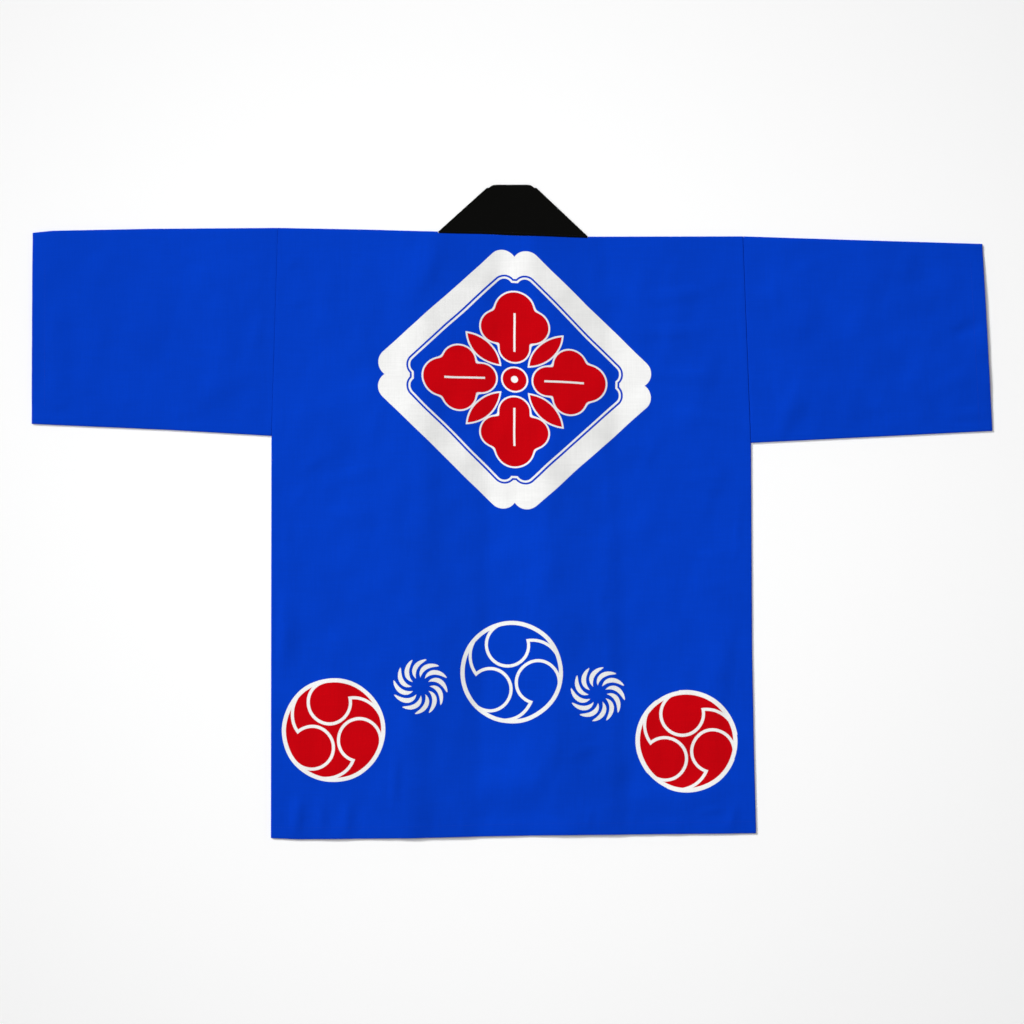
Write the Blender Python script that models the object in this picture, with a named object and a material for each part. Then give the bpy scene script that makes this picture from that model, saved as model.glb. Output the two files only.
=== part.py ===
# A happi coat, the straight cotton festival jacket, laid flat on its front with the back facing up.
# X runs from cuff to cuff, Y from the hem to the collar and Z up from the surface that it lies on.
# Every piece is one wall of cloth, worked out from the coat's cut and from how its layers lie on each other.

import math
from collections import namedtuple

import bmesh
import bpy
from mathutils import Vector

# Walls and seams, in millimetres
MM = 0.001
CLOTH = 1.0
COLLAR_CLOTH = 2.0
SEAM_GAP = 0.3

# The collar is one straight band, so its two ends run down the fronts
COLLAR_WIDTH = 60.0
COLLAR_NECK_SAG = 0.9
COLLAR_TURN_IN = 250.0

# The back runs over the shoulders and meets the fronts this far down on their side
SHOULDER_WRAP = 12.0
FRONT_HEM_RISE = 2.5

# How the back lies on what is under it
COLLAR_RAMP = 14.0
COLLAR_MARGIN = 2.8
BACK_AIR = 0.7
SLEEVE_AIR = 1.3
EDGE_EASE = 70.0
ARMHOLE_LIFT = 0.6
ARMHOLE_LIFT_REACH = 16.0
SLEEVE_HALF_DEPTH = 127.0

# Steps of the walls
BACK_ROWS = 48
SIDE_COLUMNS = 11
FRONT_COLUMNS = 6
FRONT_STEPS = 3
COLLAR_END_STEPS = 4
NECK_ROWS = 10
COLLAR_COLUMNS = 3
SLEEVE_STATIONS = 14
SLEEVE_STEPS = 12
TURN_STEPS = 4
SHARP_EDGE = 50.0

# The coat's edges as it lies: a folded top edge, a neck seam, a hem and two sides
Edge = namedtuple("Edge", "x y")

TOP_EDGE = (
    Edge(x=-599.0, y=348.8),
    Edge(x=-575.0, y=351.4),
    Edge(x=-453.0, y=353.8),
    Edge(x=-293.0, y=355.0),
    Edge(x=-178.0, y=352.8),
    Edge(x=-93.0, y=350.4),
    Edge(x=95.0, y=344.0),
    Edge(x=289.0, y=344.4),
    Edge(x=423.0, y=340.0),
    Edge(x=588.0, y=335.0),
)
NECK_SEAM = (
    Edge(x=-91.0, y=348.4),
    Edge(x=-40.0, y=347.2),
    Edge(x=36.0, y=344.4),
    Edge(x=93.5, y=342.4),
)
HEM = (
    Edge(x=-301.3, y=-407.5),
    Edge(x=-265.0, y=-408.8),
    Edge(x=-128.0, y=-407.5),
    Edge(x=-28.0, y=-405.0),
    Edge(x=48.0, y=-403.8),
    Edge(x=173.0, y=-402.5),
    Edge(x=305.0, y=-401.3),
)
SIDE_LEFT = (
    Edge(x=-301.3, y=-407.5),
    Edge(x=-300.6, y=92.0),
    Edge(x=-292.5, y=355.0),
)
SIDE_RIGHT = (
    Edge(x=305.0, y=-401.3),
    Edge(x=302.5, y=-303.8),
    Edge(x=300.0, y=-172.5),
    Edge(x=298.6, y=86.0),
    Edge(x=288.8, y=344.4),
)
UNDERARM_LEFT = (
    Edge(x=-600.0, y=110.0),
    Edge(x=-427.5, y=102.5),
    Edge(x=-299.0, y=95.0),
)
UNDERARM_RIGHT = (
    Edge(x=296.0, y=86.2),
    Edge(x=422.5, y=92.5),
    Edge(x=600.0, y=101.3),
)
CUFF_LEFT = (
    Edge(x=-600.0, y=110.0),
    Edge(x=-598.8, y=348.8),
)
CUFF_RIGHT = (
    Edge(x=600.0, y=101.3),
    Edge(x=587.5, y=335.0),
)

# The seam where each end of the collar joins its front, which slants a little outwards to the hem
COLLAR_SEAM_LEFT = (
    Edge(x=-124.0, y=-407.5),
    Edge(x=-114.0, y=-150.0),
    Edge(x=-106.0, y=100.0),
    Edge(x=-91.0, y=348.4),
)
COLLAR_SEAM_RIGHT = (
    Edge(x=126.0, y=-402.5),
    Edge(x=119.0, y=-150.0),
    Edge(x=111.0, y=100.0),
    Edge(x=93.5, y=342.4),
)

# The collar's free edge at the neck. Its two ends are where the band is folded over itself.
COLLAR_FREE_EDGE = (
    Edge(x=-28.4, y=404.8),
    Edge(x=-23.5, y=408.3),
    Edge(x=-15.0, y=408.7),
    Edge(x=15.0, y=408.7),
    Edge(x=23.0, y=408.3),
    Edge(x=27.4, y=404.8),
)

# The largest folds. The crest passes through x, y and leans clockwise from +Y by turn, in degrees.
# It runs half_length each way and falls over left and right millimetres on its two sides.
Fold = namedtuple("Fold", "place x y turn half_length left right height")

BACK_FOLDS = (
    Fold("from the neck's left corner", -113, 292, 25, 88, 46, 20, 1.9),
    Fold("left collar seam, upper", -110, 45, 0, 230, 95, 24, 1.7),
    Fold("left collar seam, lower", -122, -290, 1, 170, 80, 30, 1.9),
    Fold("right collar's free edge", 46, 60, -1, 240, 80, 46, 1.2),
    Fold("right collar seam", 118, -60, -1, 150, 42, 26, 1.0),
    Fold("below the right shoulder, first", 205, 272, 82, 72, 13, 17, 1.5),
    Fold("below the right shoulder, second", 200, 226, 88, 66, 12, 14, 1.4),
    Fold("below the right shoulder, third", 214, 172, 95, 64, 13, 16, 1.5),
    Fold("below the right shoulder, fourth", 238, 118, 100, 60, 14, 16, 1.2),
    Fold("below the right shoulder, last", 232, 42, 86, 54, 13, 15, 0.9),
    Fold("left side, upper", -204, 44, 75, 46, 15, 13, 1.1),
    Fold("left side, middle", -214, -4, 100, 40, 14, 12, 1.0),
    Fold("rolled left edge", -284, -150, 2, 78, 14, 22, 2.2),
    Fold("above the hem, centre", -8, -342, 88, 92, 30, 40, 2.0),
    Fold("above the hem, right of centre", 30, -322, 28, 70, 52, 30, 2.6),
    Fold("right hem", 205, -352, 84, 95, 24, 34, 1.7),
    Fold("left hem, first pucker", -268, -380, 4, 36, 11, 11, 1.7),
    Fold("left hem, second pucker", -238, -384, -6, 30, 11, 10, 1.4),
    Fold("left hem, third pucker", -206, -382, 5, 34, 12, 12, 1.5),
    Fold("crease above the left hem", -146, -338, 3, 52, 11, 9, 1.3),
    Fold("right side, low", 262, -196, 12, 92, 36, 22, 1.5),
)
LEFT_SLEEVE_FOLDS = (
    Fold("dip under the cuff's top edge", -538, 322, 8, 52, 22, 26, -1.1),
    Fold("along the cuff", -572, 205, 2, 118, 18, 24, 0.9),
    Fold("middle of the sleeve", -455, 236, 20, 92, 44, 30, 0.9),
    Fold("towards the underarm", -352, 160, 60, 74, 26, 22, 0.9),
)
RIGHT_SLEEVE_FOLDS = (
    Fold("hollow beside the seam", 317, 128, -4, 92, 14, 20, -1.5),
    Fold("fold from the underarm", 350, 136, 18, 86, 16, 24, 1.3),
    Fold("middle of the sleeve", 432, 232, -12, 92, 40, 36, 0.9),
    Fold("dimple by the cuff", 566, 228, 68, 28, 12, 13, -1.5),
    Fold("below the dimple", 545, 160, 62, 58, 18, 18, 1.0),
    Fold("cuff's lower corner", 568, 122, 82, 38, 12, 12, 1.0),
)

# The pieces that come in pairs. Hand is -1 on the left and 1 on the right.
Front = namedtuple("Front", "name side seam hand")
Sleeve = namedtuple("Sleeve", "name armhole cuff underarm folds hand")

FRONTS = (
    Front("front_left", SIDE_LEFT, COLLAR_SEAM_LEFT, -1),
    Front("front_right", SIDE_RIGHT, COLLAR_SEAM_RIGHT, 1),
)
SLEEVES = (
    Sleeve("sleeve_left", SIDE_LEFT, CUFF_LEFT, UNDERARM_LEFT, LEFT_SLEEVE_FOLDS, -1),
    Sleeve("sleeve_right", SIDE_RIGHT, CUFF_RIGHT, UNDERARM_RIGHT, RIGHT_SLEEVE_FOLDS, 1),
)

# Colours of the two cloths, as linear light
BLUE_COTTON = (0.002, 0.045, 0.52, 1.0)
BLACK_COTTON = (0.004, 0.004, 0.004, 1.0)
COTTON_ROUGHNESS = 0.9

UP = Vector((0.0, 0.0, 1.0))


def mix(start, end, share):
    return start + (end - start) * share


def read_edge(edge, place, along="x"):
    """The edge's other coordinate at a place along X or along Y, on the straight runs between its rows."""
    other = "y" if along == "x" else "x"
    spans = list(zip(edge, edge[1:]))
    for low, high in spans:
        if place <= getattr(high, along):
            break
    start, end = getattr(low, along), getattr(high, along)
    share = min(1.0, max(0.0, (place - start) / (end - start)))
    return mix(getattr(low, other), getattr(high, other), share)


def seam_rows(seam, low, high, steps):
    """Heights Y up a seam from low to high. Both sides of the seam have them, so their edges run alike."""
    bends = [low] + [edge.y for edge in seam if low < edge.y < high] + [high]
    heights = [mix(start, end, step / steps) for start, end in zip(bends, bends[1:]) for step in range(steps)]
    return heights + [high]


def fall(distance, reach):
    """1 on a crest and 0 at its reach, round at both."""
    share = min(1.0, abs(distance) / reach)
    return math.cos(0.5 * math.pi * share) ** 2


def ease(distance, reach):
    """0 on an edge and 1 at the reach and beyond."""
    return 1.0 - fall(max(0.0, distance), reach)


def folds_height(folds, x, y):
    total = 0.0
    for fold in folds:
        turn = math.radians(fold.turn)
        along = (x - fold.x) * math.sin(turn) + (y - fold.y) * math.cos(turn)
        across = (x - fold.x) * math.cos(turn) - (y - fold.y) * math.sin(turn)
        reach = fold.right if across > 0 else fold.left
        total += fold.height * fall(along, fold.half_length) * fall(across, reach)
    return total


def collar_edges(y):
    """X of the four lines of the collar's two ends at a height Y, from left to right."""
    left_seam = read_edge(COLLAR_SEAM_LEFT, y, "y")
    right_seam = read_edge(COLLAR_SEAM_RIGHT, y, "y")
    return left_seam, left_seam + COLLAR_WIDTH, right_seam - COLLAR_WIDTH, right_seam


def under_back(x, y):
    """Top of what lies under the back: the fronts, the collar's ends, or the slack cloth between them."""
    left_seam, left_free, right_free, right_seam = collar_edges(y)
    outside = max(left_seam - x, x - right_seam)
    inside = min(x - left_free, right_free - x)
    clear = max(outside, inside) - COLLAR_MARGIN
    share = min(1.0, max(0.0, clear / (COLLAR_RAMP - COLLAR_MARGIN)))
    return mix(COLLAR_CLOTH, CLOTH, share)


def back_middle(x, y):
    """Height of the middle of the back's wall."""
    left_side = read_edge(SIDE_LEFT, y, "y")
    right_side = read_edge(SIDE_RIGHT, y, "y")
    from_side = min(x - left_side, right_side - x)
    from_top = read_edge(TOP_EDGE, x) - y
    air = BACK_AIR * ease(from_side, EDGE_EASE) * ease(from_top, EDGE_EASE)
    lift = folds_height(BACK_FOLDS, x, y)
    if y > read_edge(UNDERARM_LEFT if x < 0 else UNDERARM_RIGHT, x):
        lift += ARMHOLE_LIFT * fall(from_side, ARMHOLE_LIFT_REACH)
    return under_back(x, y) + SEAM_GAP + CLOTH / 2 + max(0.0, air + lift)


def wall(name, sheet, thickness, material, ring=0):
    """A closed wall around a sheet: its (row, column) points, each with the way its right side faces.

    A cell is filled where its four corners are there. On a ring the last column joins the first.
    """
    body = bmesh.new()
    outer = {}
    inner = {}
    for key, (point, facing) in sheet.items():
        outer[key] = body.verts.new((point + facing * thickness / 2) * MM)
        inner[key] = body.verts.new((point - facing * thickness / 2) * MM)
    edge_cells = {}
    for row, column in sheet:
        after = (column + 1) % ring if ring else column + 1
        corners = [(row, column), (row, after), (row + 1, after), (row + 1, column)]
        if not all(corner in sheet for corner in corners):
            continue
        body.faces.new([outer[corner] for corner in corners])
        body.faces.new([inner[corner] for corner in reversed(corners)])
        for start, end in zip(corners, corners[1:] + corners[:1]):
            edge_cells.setdefault(frozenset((start, end)), []).append((start, end))
    for cells in edge_cells.values():
        if len(cells) == 1:
            start, end = cells[0]
            body.faces.new([outer[end], outer[start], inner[start], inner[end]])
    bmesh.ops.recalc_face_normals(body, faces=body.faces)
    mesh = bpy.data.meshes.new(name)
    body.to_mesh(mesh)
    body.free()
    mesh.materials.append(material)
    mesh.shade_smooth()
    mesh.set_sharp_from_angle(angle=math.radians(SHARP_EDGE))
    piece = bpy.data.objects.new(name, mesh)
    bpy.context.scene.collection.objects.link(piece)
    return piece


def half_turn(start_degrees, end_degrees):
    """The angles between two ends of a turn, both left out."""
    for step in range(1, TURN_STEPS):
        yield math.radians(mix(start_degrees, end_degrees, step / TURN_STEPS))


def back_columns(y):
    """X of the back's columns at a height Y. They follow the collar's ends, so the wall steps over them."""
    left_seam, left_free, right_free, right_seam = collar_edges(y)
    left = left_seam - COLLAR_RAMP
    right = right_seam + COLLAR_RAMP
    left_side = read_edge(SIDE_LEFT, y, "y")
    right_side = read_edge(SIDE_RIGHT, y, "y")
    columns = [mix(left_side, left, step / SIDE_COLUMNS) for step in range(SIDE_COLUMNS)]
    columns += [left, left_seam - COLLAR_MARGIN, mix(left_seam, left_free, 0.5), left_free + COLLAR_MARGIN]
    gap_start = left_free + COLLAR_RAMP
    gap_end = right_free - COLLAR_RAMP
    columns += [gap_start, mix(gap_start, gap_end, 0.5), gap_end]
    columns += [right_free - COLLAR_MARGIN, mix(right_free, right_seam, 0.5)]
    columns += [right_seam + COLLAR_MARGIN, right]
    columns += [mix(right, right_side, step / SIDE_COLUMNS) for step in range(1, SIDE_COLUMNS + 1)]
    return columns


def back_top(x):
    """Y of the back's last row: the neck seam, or the start of the turn over the shoulder."""
    neck_start, neck_end = NECK_SEAM[0].x, NECK_SEAM[-1].x
    if neck_start - COLLAR_RAMP / 2 < x < neck_end + COLLAR_RAMP / 2:
        return read_edge(NECK_SEAM, x) - SEAM_GAP
    top = read_edge(TOP_EDGE, x)
    height = back_middle(x, top)
    return top - (height - CLOTH / 2) / 2 - CLOTH / 2


def make_back(material):
    sheet = {}
    top_row = BACK_ROWS
    last_column = len(back_columns(NECK_SEAM[0].y)) - 1
    shoulder_columns = SIDE_COLUMNS + 2
    for row in range(BACK_ROWS + 1):
        share = row / BACK_ROWS
        guide = mix(HEM[0].y, NECK_SEAM[0].y, share)
        for column, x in enumerate(back_columns(guide)):
            y = mix(read_edge(HEM, x), back_top(x), share)
            sheet[row, column] = (Vector((x, y, back_middle(x, y))), UP)
    for column in [*range(shoulder_columns), *range(last_column + 1 - shoulder_columns, last_column + 1)]:
        start = sheet[top_row, column][0]
        radius = (start.z - CLOTH / 2) / 2
        centre = Vector((start.x, start.y, start.z - radius))
        row = top_row
        for angle in half_turn(90, -90):
            row += 1
            facing = Vector((0.0, math.cos(angle), math.sin(angle)))
            sheet[row, column] = (centre + facing * radius, facing)
        for y in (start.y, read_edge(TOP_EDGE, start.x) - SHOULDER_WRAP):
            row += 1
            sheet[row, column] = (Vector((start.x, y, CLOTH / 2)), -UP)
    return wall("back", sheet, CLOTH, material)


def front_low(x):
    return read_edge(HEM, x) + FRONT_HEM_RISE


def front_high(x):
    return read_edge(TOP_EDGE, x) - SHOULDER_WRAP - SEAM_GAP


def make_front(front, material):
    """One front, flat on the surface, from the collar's seam out to its side seam."""
    sheet = {}
    low, high = front_low(front.seam[0].x), front_high(front.seam[-1].x)
    for row, seam_y in enumerate(seam_rows(front.seam, low, high, FRONT_STEPS)):
        share = (seam_y - low) / (high - low)
        seam_x = read_edge(front.seam, seam_y, "y") + front.hand * SEAM_GAP
        sheet[row, 0] = (Vector((seam_x, seam_y, CLOTH / 2)), -UP)
        for column in range(1, FRONT_COLUMNS + 1):
            away = column / FRONT_COLUMNS
            x = mix(seam_x, read_edge(front.side, seam_y, "y"), away)
            y = mix(front_low(x), front_high(x), share)
            x = mix(seam_x, read_edge(front.side, y, "y"), away)
            sheet[row, column] = (Vector((x, y, CLOTH / 2)), -UP)
    return wall(front.name, sheet, CLOTH, material)


def sleeve_place(sleeve, out, share):
    """X and Y on a sleeve, at shares of the way out to the cuff and up from the underarm."""
    middle_y = (sleeve.underarm[0].y + sleeve.underarm[-1].y) / 2 + SLEEVE_HALF_DEPTH
    x = mix(read_edge(sleeve.armhole, middle_y, "y"), read_edge(sleeve.cuff, middle_y, "y"), out)
    y = mix(read_edge(sleeve.underarm, x), read_edge(TOP_EDGE, x), share)
    start = read_edge(sleeve.armhole, y, "y") + sleeve.hand * SEAM_GAP
    x = mix(start, read_edge(sleeve.cuff, y, "y"), out)
    return x, mix(read_edge(sleeve.underarm, x), read_edge(TOP_EDGE, x), share)


def sleeve_top_middle(sleeve, x, y, share):
    """Height of the middle of a sleeve's upper wall."""
    span = read_edge(TOP_EDGE, x) - read_edge(sleeve.underarm, x)
    from_edge = min(share, 1.0 - share) * span
    from_armhole = abs(x - read_edge(sleeve.armhole, y, "y"))
    air = SLEEVE_AIR * ease(from_edge, EDGE_EASE) * ease(from_armhole, EDGE_EASE)
    lift = (air + folds_height(sleeve.folds, x, y)) * ease(from_edge, ARMHOLE_LIFT_REACH)
    return CLOTH + SEAM_GAP + CLOTH / 2 + max(0.0, lift)


def sleeve_turn(point, start_degrees, end_degrees, side):
    """Entries round one of a sleeve's two folded edges. Side is 1 at the top and -1 under the arm."""
    radius = (SEAM_GAP + CLOTH) / 2
    entries = []
    for angle in half_turn(start_degrees, end_degrees):
        facing = Vector((0.0, side * math.cos(angle), math.sin(angle)))
        entries.append((point + UP * radius + facing * radius, facing))
    return entries


def make_sleeve(sleeve, material):
    """A sleeve folded along its top edge and sewn along the underarm, so it is a flattened tube."""
    inset = (SEAM_GAP + CLOTH) / 2 + CLOTH / 2
    sheet = {}
    for station in range(SLEEVE_STATIONS + 1):
        under = []
        for step in range(SLEEVE_STEPS + 1):
            x, y = sleeve_place(sleeve, station / SLEEVE_STATIONS, step / SLEEVE_STEPS)
            y = min(max(y, read_edge(sleeve.underarm, x) + inset), read_edge(TOP_EDGE, x) - inset)
            under.append(Vector((x, y, CLOTH / 2)))
        over = []
        for step, point in enumerate(under):
            height = sleeve_top_middle(sleeve, point.x, point.y, step / SLEEVE_STEPS)
            over.append((Vector((point.x, point.y, height)), UP))
        ring = [(point, -UP) for point in under]
        ring += sleeve_turn(under[-1], -90, 90, 1)
        ring += reversed(over)
        ring += sleeve_turn(under[0], 90, -90, -1)
        for column, entry in enumerate(ring):
            sheet[station, column] = entry
    return wall(sleeve.name, sheet, CLOTH, material, ring=len(ring))


def collar_end(seam, seam_corner, free_corner, inward):
    """Rows of one end of the collar, flat on the surface, from the hem to its fold beside the neck."""
    hem_y = front_low(seam[0].x)
    rows = []
    for seam_y in seam_rows(seam, hem_y, seam_corner.y, COLLAR_END_STEPS):
        share = (seam_y - hem_y) / (seam_corner.y - hem_y)
        seam_point = Vector((read_edge(seam, seam_y, "y"), seam_y, COLLAR_CLOTH / 2))
        free_y = mix(hem_y, free_corner.y, share)
        straight = read_edge(seam, free_y, "y") + inward * COLLAR_WIDTH
        to_corner = ease(free_y - COLLAR_TURN_IN, free_corner.y - COLLAR_TURN_IN)
        free_point = Vector((mix(straight, free_corner.x, to_corner), free_y, COLLAR_CLOTH / 2))
        rows.append([(seam_point.lerp(free_point, column / COLLAR_COLUMNS), -UP)
                     for column in range(COLLAR_COLUMNS + 1)])
    return rows


def collar_fold(last_flat, outward, rising):
    """Rows of the collar's half turn about its slanted fold, from the lower layer up or back down."""
    radius = (COLLAR_CLOTH + SEAM_GAP) / 2
    rows = []
    ends = (-90, 90) if rising else (90, -90)
    for angle in half_turn(*ends):
        facing = outward * math.cos(angle) + UP * math.sin(angle)
        rows.append([(Vector((point.x, point.y, COLLAR_CLOTH / 2 + radius)) + facing * radius, facing)
                     for point, _ in last_flat])
    return rows


def make_collar(material):
    seam_corners = [Vector((*NECK_SEAM[end], 0.0)) for end in (0, -1)]
    free_corners = [Vector((*COLLAR_FREE_EDGE[end], 0.0)) for end in (0, -1)]
    slants = [(free - low).normalized() for low, free in zip(seam_corners, free_corners)]
    outwards = [Vector((-slants[0].y, slants[0].x, 0.0)), Vector((slants[1].y, -slants[1].x, 0.0))]
    left = collar_end(COLLAR_SEAM_LEFT, seam_corners[0], free_corners[0], 1)
    right = collar_end(COLLAR_SEAM_RIGHT, seam_corners[1], free_corners[1], -1)
    over = COLLAR_CLOTH + SEAM_GAP
    neck = []
    for row in range(NECK_ROWS + 1):
        share = row / NECK_ROWS
        seam_x = mix(seam_corners[0].x, seam_corners[1].x, share)
        low = Vector((seam_x, read_edge(NECK_SEAM, seam_x), 0.0))
        free = free_corners[0].lerp(free_corners[1], share)
        free.y = read_edge(COLLAR_FREE_EDGE, free.x)
        height = COLLAR_CLOTH / 2 + over - COLLAR_NECK_SAG * math.sin(math.pi * share) ** 2
        neck.append([(low.lerp(free, column / COLLAR_COLUMNS) + UP * height, UP)
                     for column in range(COLLAR_COLUMNS + 1)])
    rows = left + collar_fold(left[-1], outwards[0], True) + neck
    rows += collar_fold(right[-1], outwards[1], False) + list(reversed(right))
    sheet = {(row, column): entry for row, entries in enumerate(rows) for column, entry in enumerate(entries)}
    return wall("collar", sheet, COLLAR_CLOTH, material)


def make_cloth_material(name, colour):
    material = bpy.data.materials.new(name)
    material.use_nodes = True
    shader = material.node_tree.nodes["Principled BSDF"]
    shader.inputs["Base Color"].default_value = colour
    shader.inputs["Roughness"].default_value = COTTON_ROUGHNESS
    shader.inputs["Metallic"].default_value = 0.0
    material.diffuse_color = colour
    return material


def main():
    for old in list(bpy.data.objects):
        bpy.data.objects.remove(old, do_unlink=True)
    pieces = [
        make_back(make_cloth_material("back_cotton", BLUE_COTTON)),
        make_collar(make_cloth_material("collar_cotton", BLACK_COTTON)),
    ]
    for front in FRONTS:
        pieces.append(make_front(front, make_cloth_material(front.name + "_cotton", BLUE_COTTON)))
    for sleeve in SLEEVES:
        pieces.append(make_sleeve(sleeve, make_cloth_material(sleeve.name + "_cotton", BLUE_COTTON)))
    coat = bpy.data.objects.new("happi_coat", None)
    bpy.context.scene.collection.objects.link(coat)
    for piece in pieces:
        piece.parent = coat


main()
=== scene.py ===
import math
from collections import namedtuple

import bpy
import numpy as np
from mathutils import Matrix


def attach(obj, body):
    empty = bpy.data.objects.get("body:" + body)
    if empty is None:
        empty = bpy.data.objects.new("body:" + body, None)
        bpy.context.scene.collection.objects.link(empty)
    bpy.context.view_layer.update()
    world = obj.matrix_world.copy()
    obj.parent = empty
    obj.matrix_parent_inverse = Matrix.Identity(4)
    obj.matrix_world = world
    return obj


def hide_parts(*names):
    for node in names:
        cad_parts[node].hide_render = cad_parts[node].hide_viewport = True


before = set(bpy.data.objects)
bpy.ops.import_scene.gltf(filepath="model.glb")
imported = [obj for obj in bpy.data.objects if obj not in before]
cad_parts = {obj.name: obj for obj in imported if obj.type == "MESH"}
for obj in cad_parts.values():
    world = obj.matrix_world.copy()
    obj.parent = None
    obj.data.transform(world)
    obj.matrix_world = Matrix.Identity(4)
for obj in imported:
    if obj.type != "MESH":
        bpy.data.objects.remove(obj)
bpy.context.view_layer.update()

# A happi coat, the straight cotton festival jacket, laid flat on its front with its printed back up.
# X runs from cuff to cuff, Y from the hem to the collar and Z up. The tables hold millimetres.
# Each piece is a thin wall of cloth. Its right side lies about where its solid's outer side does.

MM = 0.001

# Cloth and seams. The solids' walls are thicker than the cloth that lies along their outer sides.
# A turn is the radius at which the middle of the cloth turns over at an edge.
CLOTH = 0.5
SOLID_CLOTH = 1.0
SOLID_COLLAR = 2.0
SEAM_GAP = 0.3
SEAM_SLIT = 0.06
SEAM_TURN = 0.4
FLAT_SEAM_TURN = 0.2
SIDE_TURN = 0.9
FRONT_SIDE_TURN = 0.72
HEM_TURN = 0.28
HEM_CORNER_TURN = 0.2
SHOULDER_SEAM_TURN = 0.3
TURN_STEPS = 6
SHARP_ANGLE = 50.0

# Beside the neck the shoulder's turn ends this far past the collar's corners, over a short width
NECK_MARGIN = 1.4
NECK_NOTCH = 0.25
NECK_CLEAR = 0.01

# The hem's second layer is this many rows deep, and the cloth steps down where it ends
HEM_ROWS = 4
HEM_DEPTH = 16.0
HEM_STEP = 0.22
HEM_STEP_WIDTH = 2.8

COLLAR_WIDTH = 60.0
COLLAR_NECK_SAG = 0.9
COLLAR_TURN_IN = 250.0
COLLAR_RAMP = 24.0
COLLAR_MARGIN = 2.8
COLLAR_END_CLOSE = 70.0
COLLAR_CORNER_ROUND = 1.7
SHOULDER_WRAP = 12.0
WRAP_ROWS = 3
FRONT_HEM_RISE = 2.5
BACK_AIR = 0.7
SLEEVE_AIR = 1.3
EDGE_EASE = 70.0
ARMHOLE_LIFT = 0.6
ARMHOLE_LIFT_REACH = 16.0
SLEEVE_HALF_DEPTH = 127.0
SLEEVE_EDGE_EASE = 16.0

# Steps of the walls, about 4 mm apart on the back
BACK_ROWS = 190
BACK_SIDE_COLUMNS = 50
BACK_NECK_COLUMNS = 46
FRONT_COLUMNS = 34
FRONT_ROWS = 130
SLEEVE_STATIONS = 72
SLEEVE_STEPS = 58
COLLAR_END_ROWS = 110
COLLAR_NECK_ROWS = 40
COLLAR_COLUMNS = 12

EAST = np.array((1.0, 0.0, 0.0))
NORTH = np.array((0.0, 1.0, 0.0))
UP = np.array((0.0, 0.0, 1.0))

# The coat's edges as it lies, which are those of its solids
Edge = namedtuple("Edge", "x y")

TOP_EDGE = (
    Edge(-599.0, 348.8), Edge(-575.0, 351.4), Edge(-453.0, 353.8), Edge(-293.0, 355.0),
    Edge(-178.0, 352.8), Edge(-93.0, 350.4), Edge(95.0, 344.0), Edge(289.0, 344.4),
    Edge(423.0, 340.0), Edge(588.0, 335.0),
)
LEFT_SHOULDER = TOP_EDGE[3]
RIGHT_SHOULDER = TOP_EDGE[7]
NECK_SEAM = (
    Edge(-91.0, 348.4), Edge(-40.0, 347.2), Edge(36.0, 344.4), Edge(93.5, 342.4),
)
HEM = (
    Edge(-301.3, -407.5), Edge(-265.0, -408.8), Edge(-128.0, -407.5), Edge(-28.0, -405.0),
    Edge(48.0, -403.8), Edge(173.0, -402.5), Edge(305.0, -401.3),
)
SIDE_LEFT = (
    Edge(-301.3, -407.5), Edge(-300.6, 92.0), Edge(-292.5, 355.0),
)
SIDE_RIGHT = (
    Edge(305.0, -401.3), Edge(302.5, -303.8), Edge(300.0, -172.5), Edge(298.6, 86.0),
    Edge(288.8, 344.4),
)
UNDERARM_LEFT = (
    Edge(-600.0, 110.0), Edge(-427.5, 102.5), Edge(-299.0, 95.0),
)
UNDERARM_RIGHT = (
    Edge(296.0, 86.2), Edge(422.5, 92.5), Edge(600.0, 101.3),
)
CUFF_LEFT = (
    Edge(-600.0, 110.0), Edge(-598.8, 348.8),
)
CUFF_RIGHT = (
    Edge(600.0, 101.3), Edge(587.5, 335.0),
)
COLLAR_SEAM_LEFT = (
    Edge(-124.0, -407.5), Edge(-114.0, -150.0), Edge(-106.0, 100.0), Edge(-91.0, 348.4),
)
COLLAR_SEAM_RIGHT = (
    Edge(126.0, -402.5), Edge(119.0, -150.0), Edge(111.0, 100.0), Edge(93.5, 342.4),
)
COLLAR_FREE_EDGE = (
    Edge(-28.4, 404.8), Edge(-26.6, 406.8), Edge(-23.5, 408.2), Edge(-18.0, 408.7),
    Edge(18.0, 408.7), Edge(22.8, 408.2), Edge(25.6, 406.8), Edge(27.4, 404.8),
)

# Folds and creases. The crest passes through x, y and leans clockwise from +Y by turn, in degrees.
# It runs half_length each way and falls over left and right millimetres on its two sides.
# The back's folds are those of its solid, some a little lower, and its creases are the scene's own.
Fold = namedtuple("Fold", "place x y turn half_length left right height")

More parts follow.
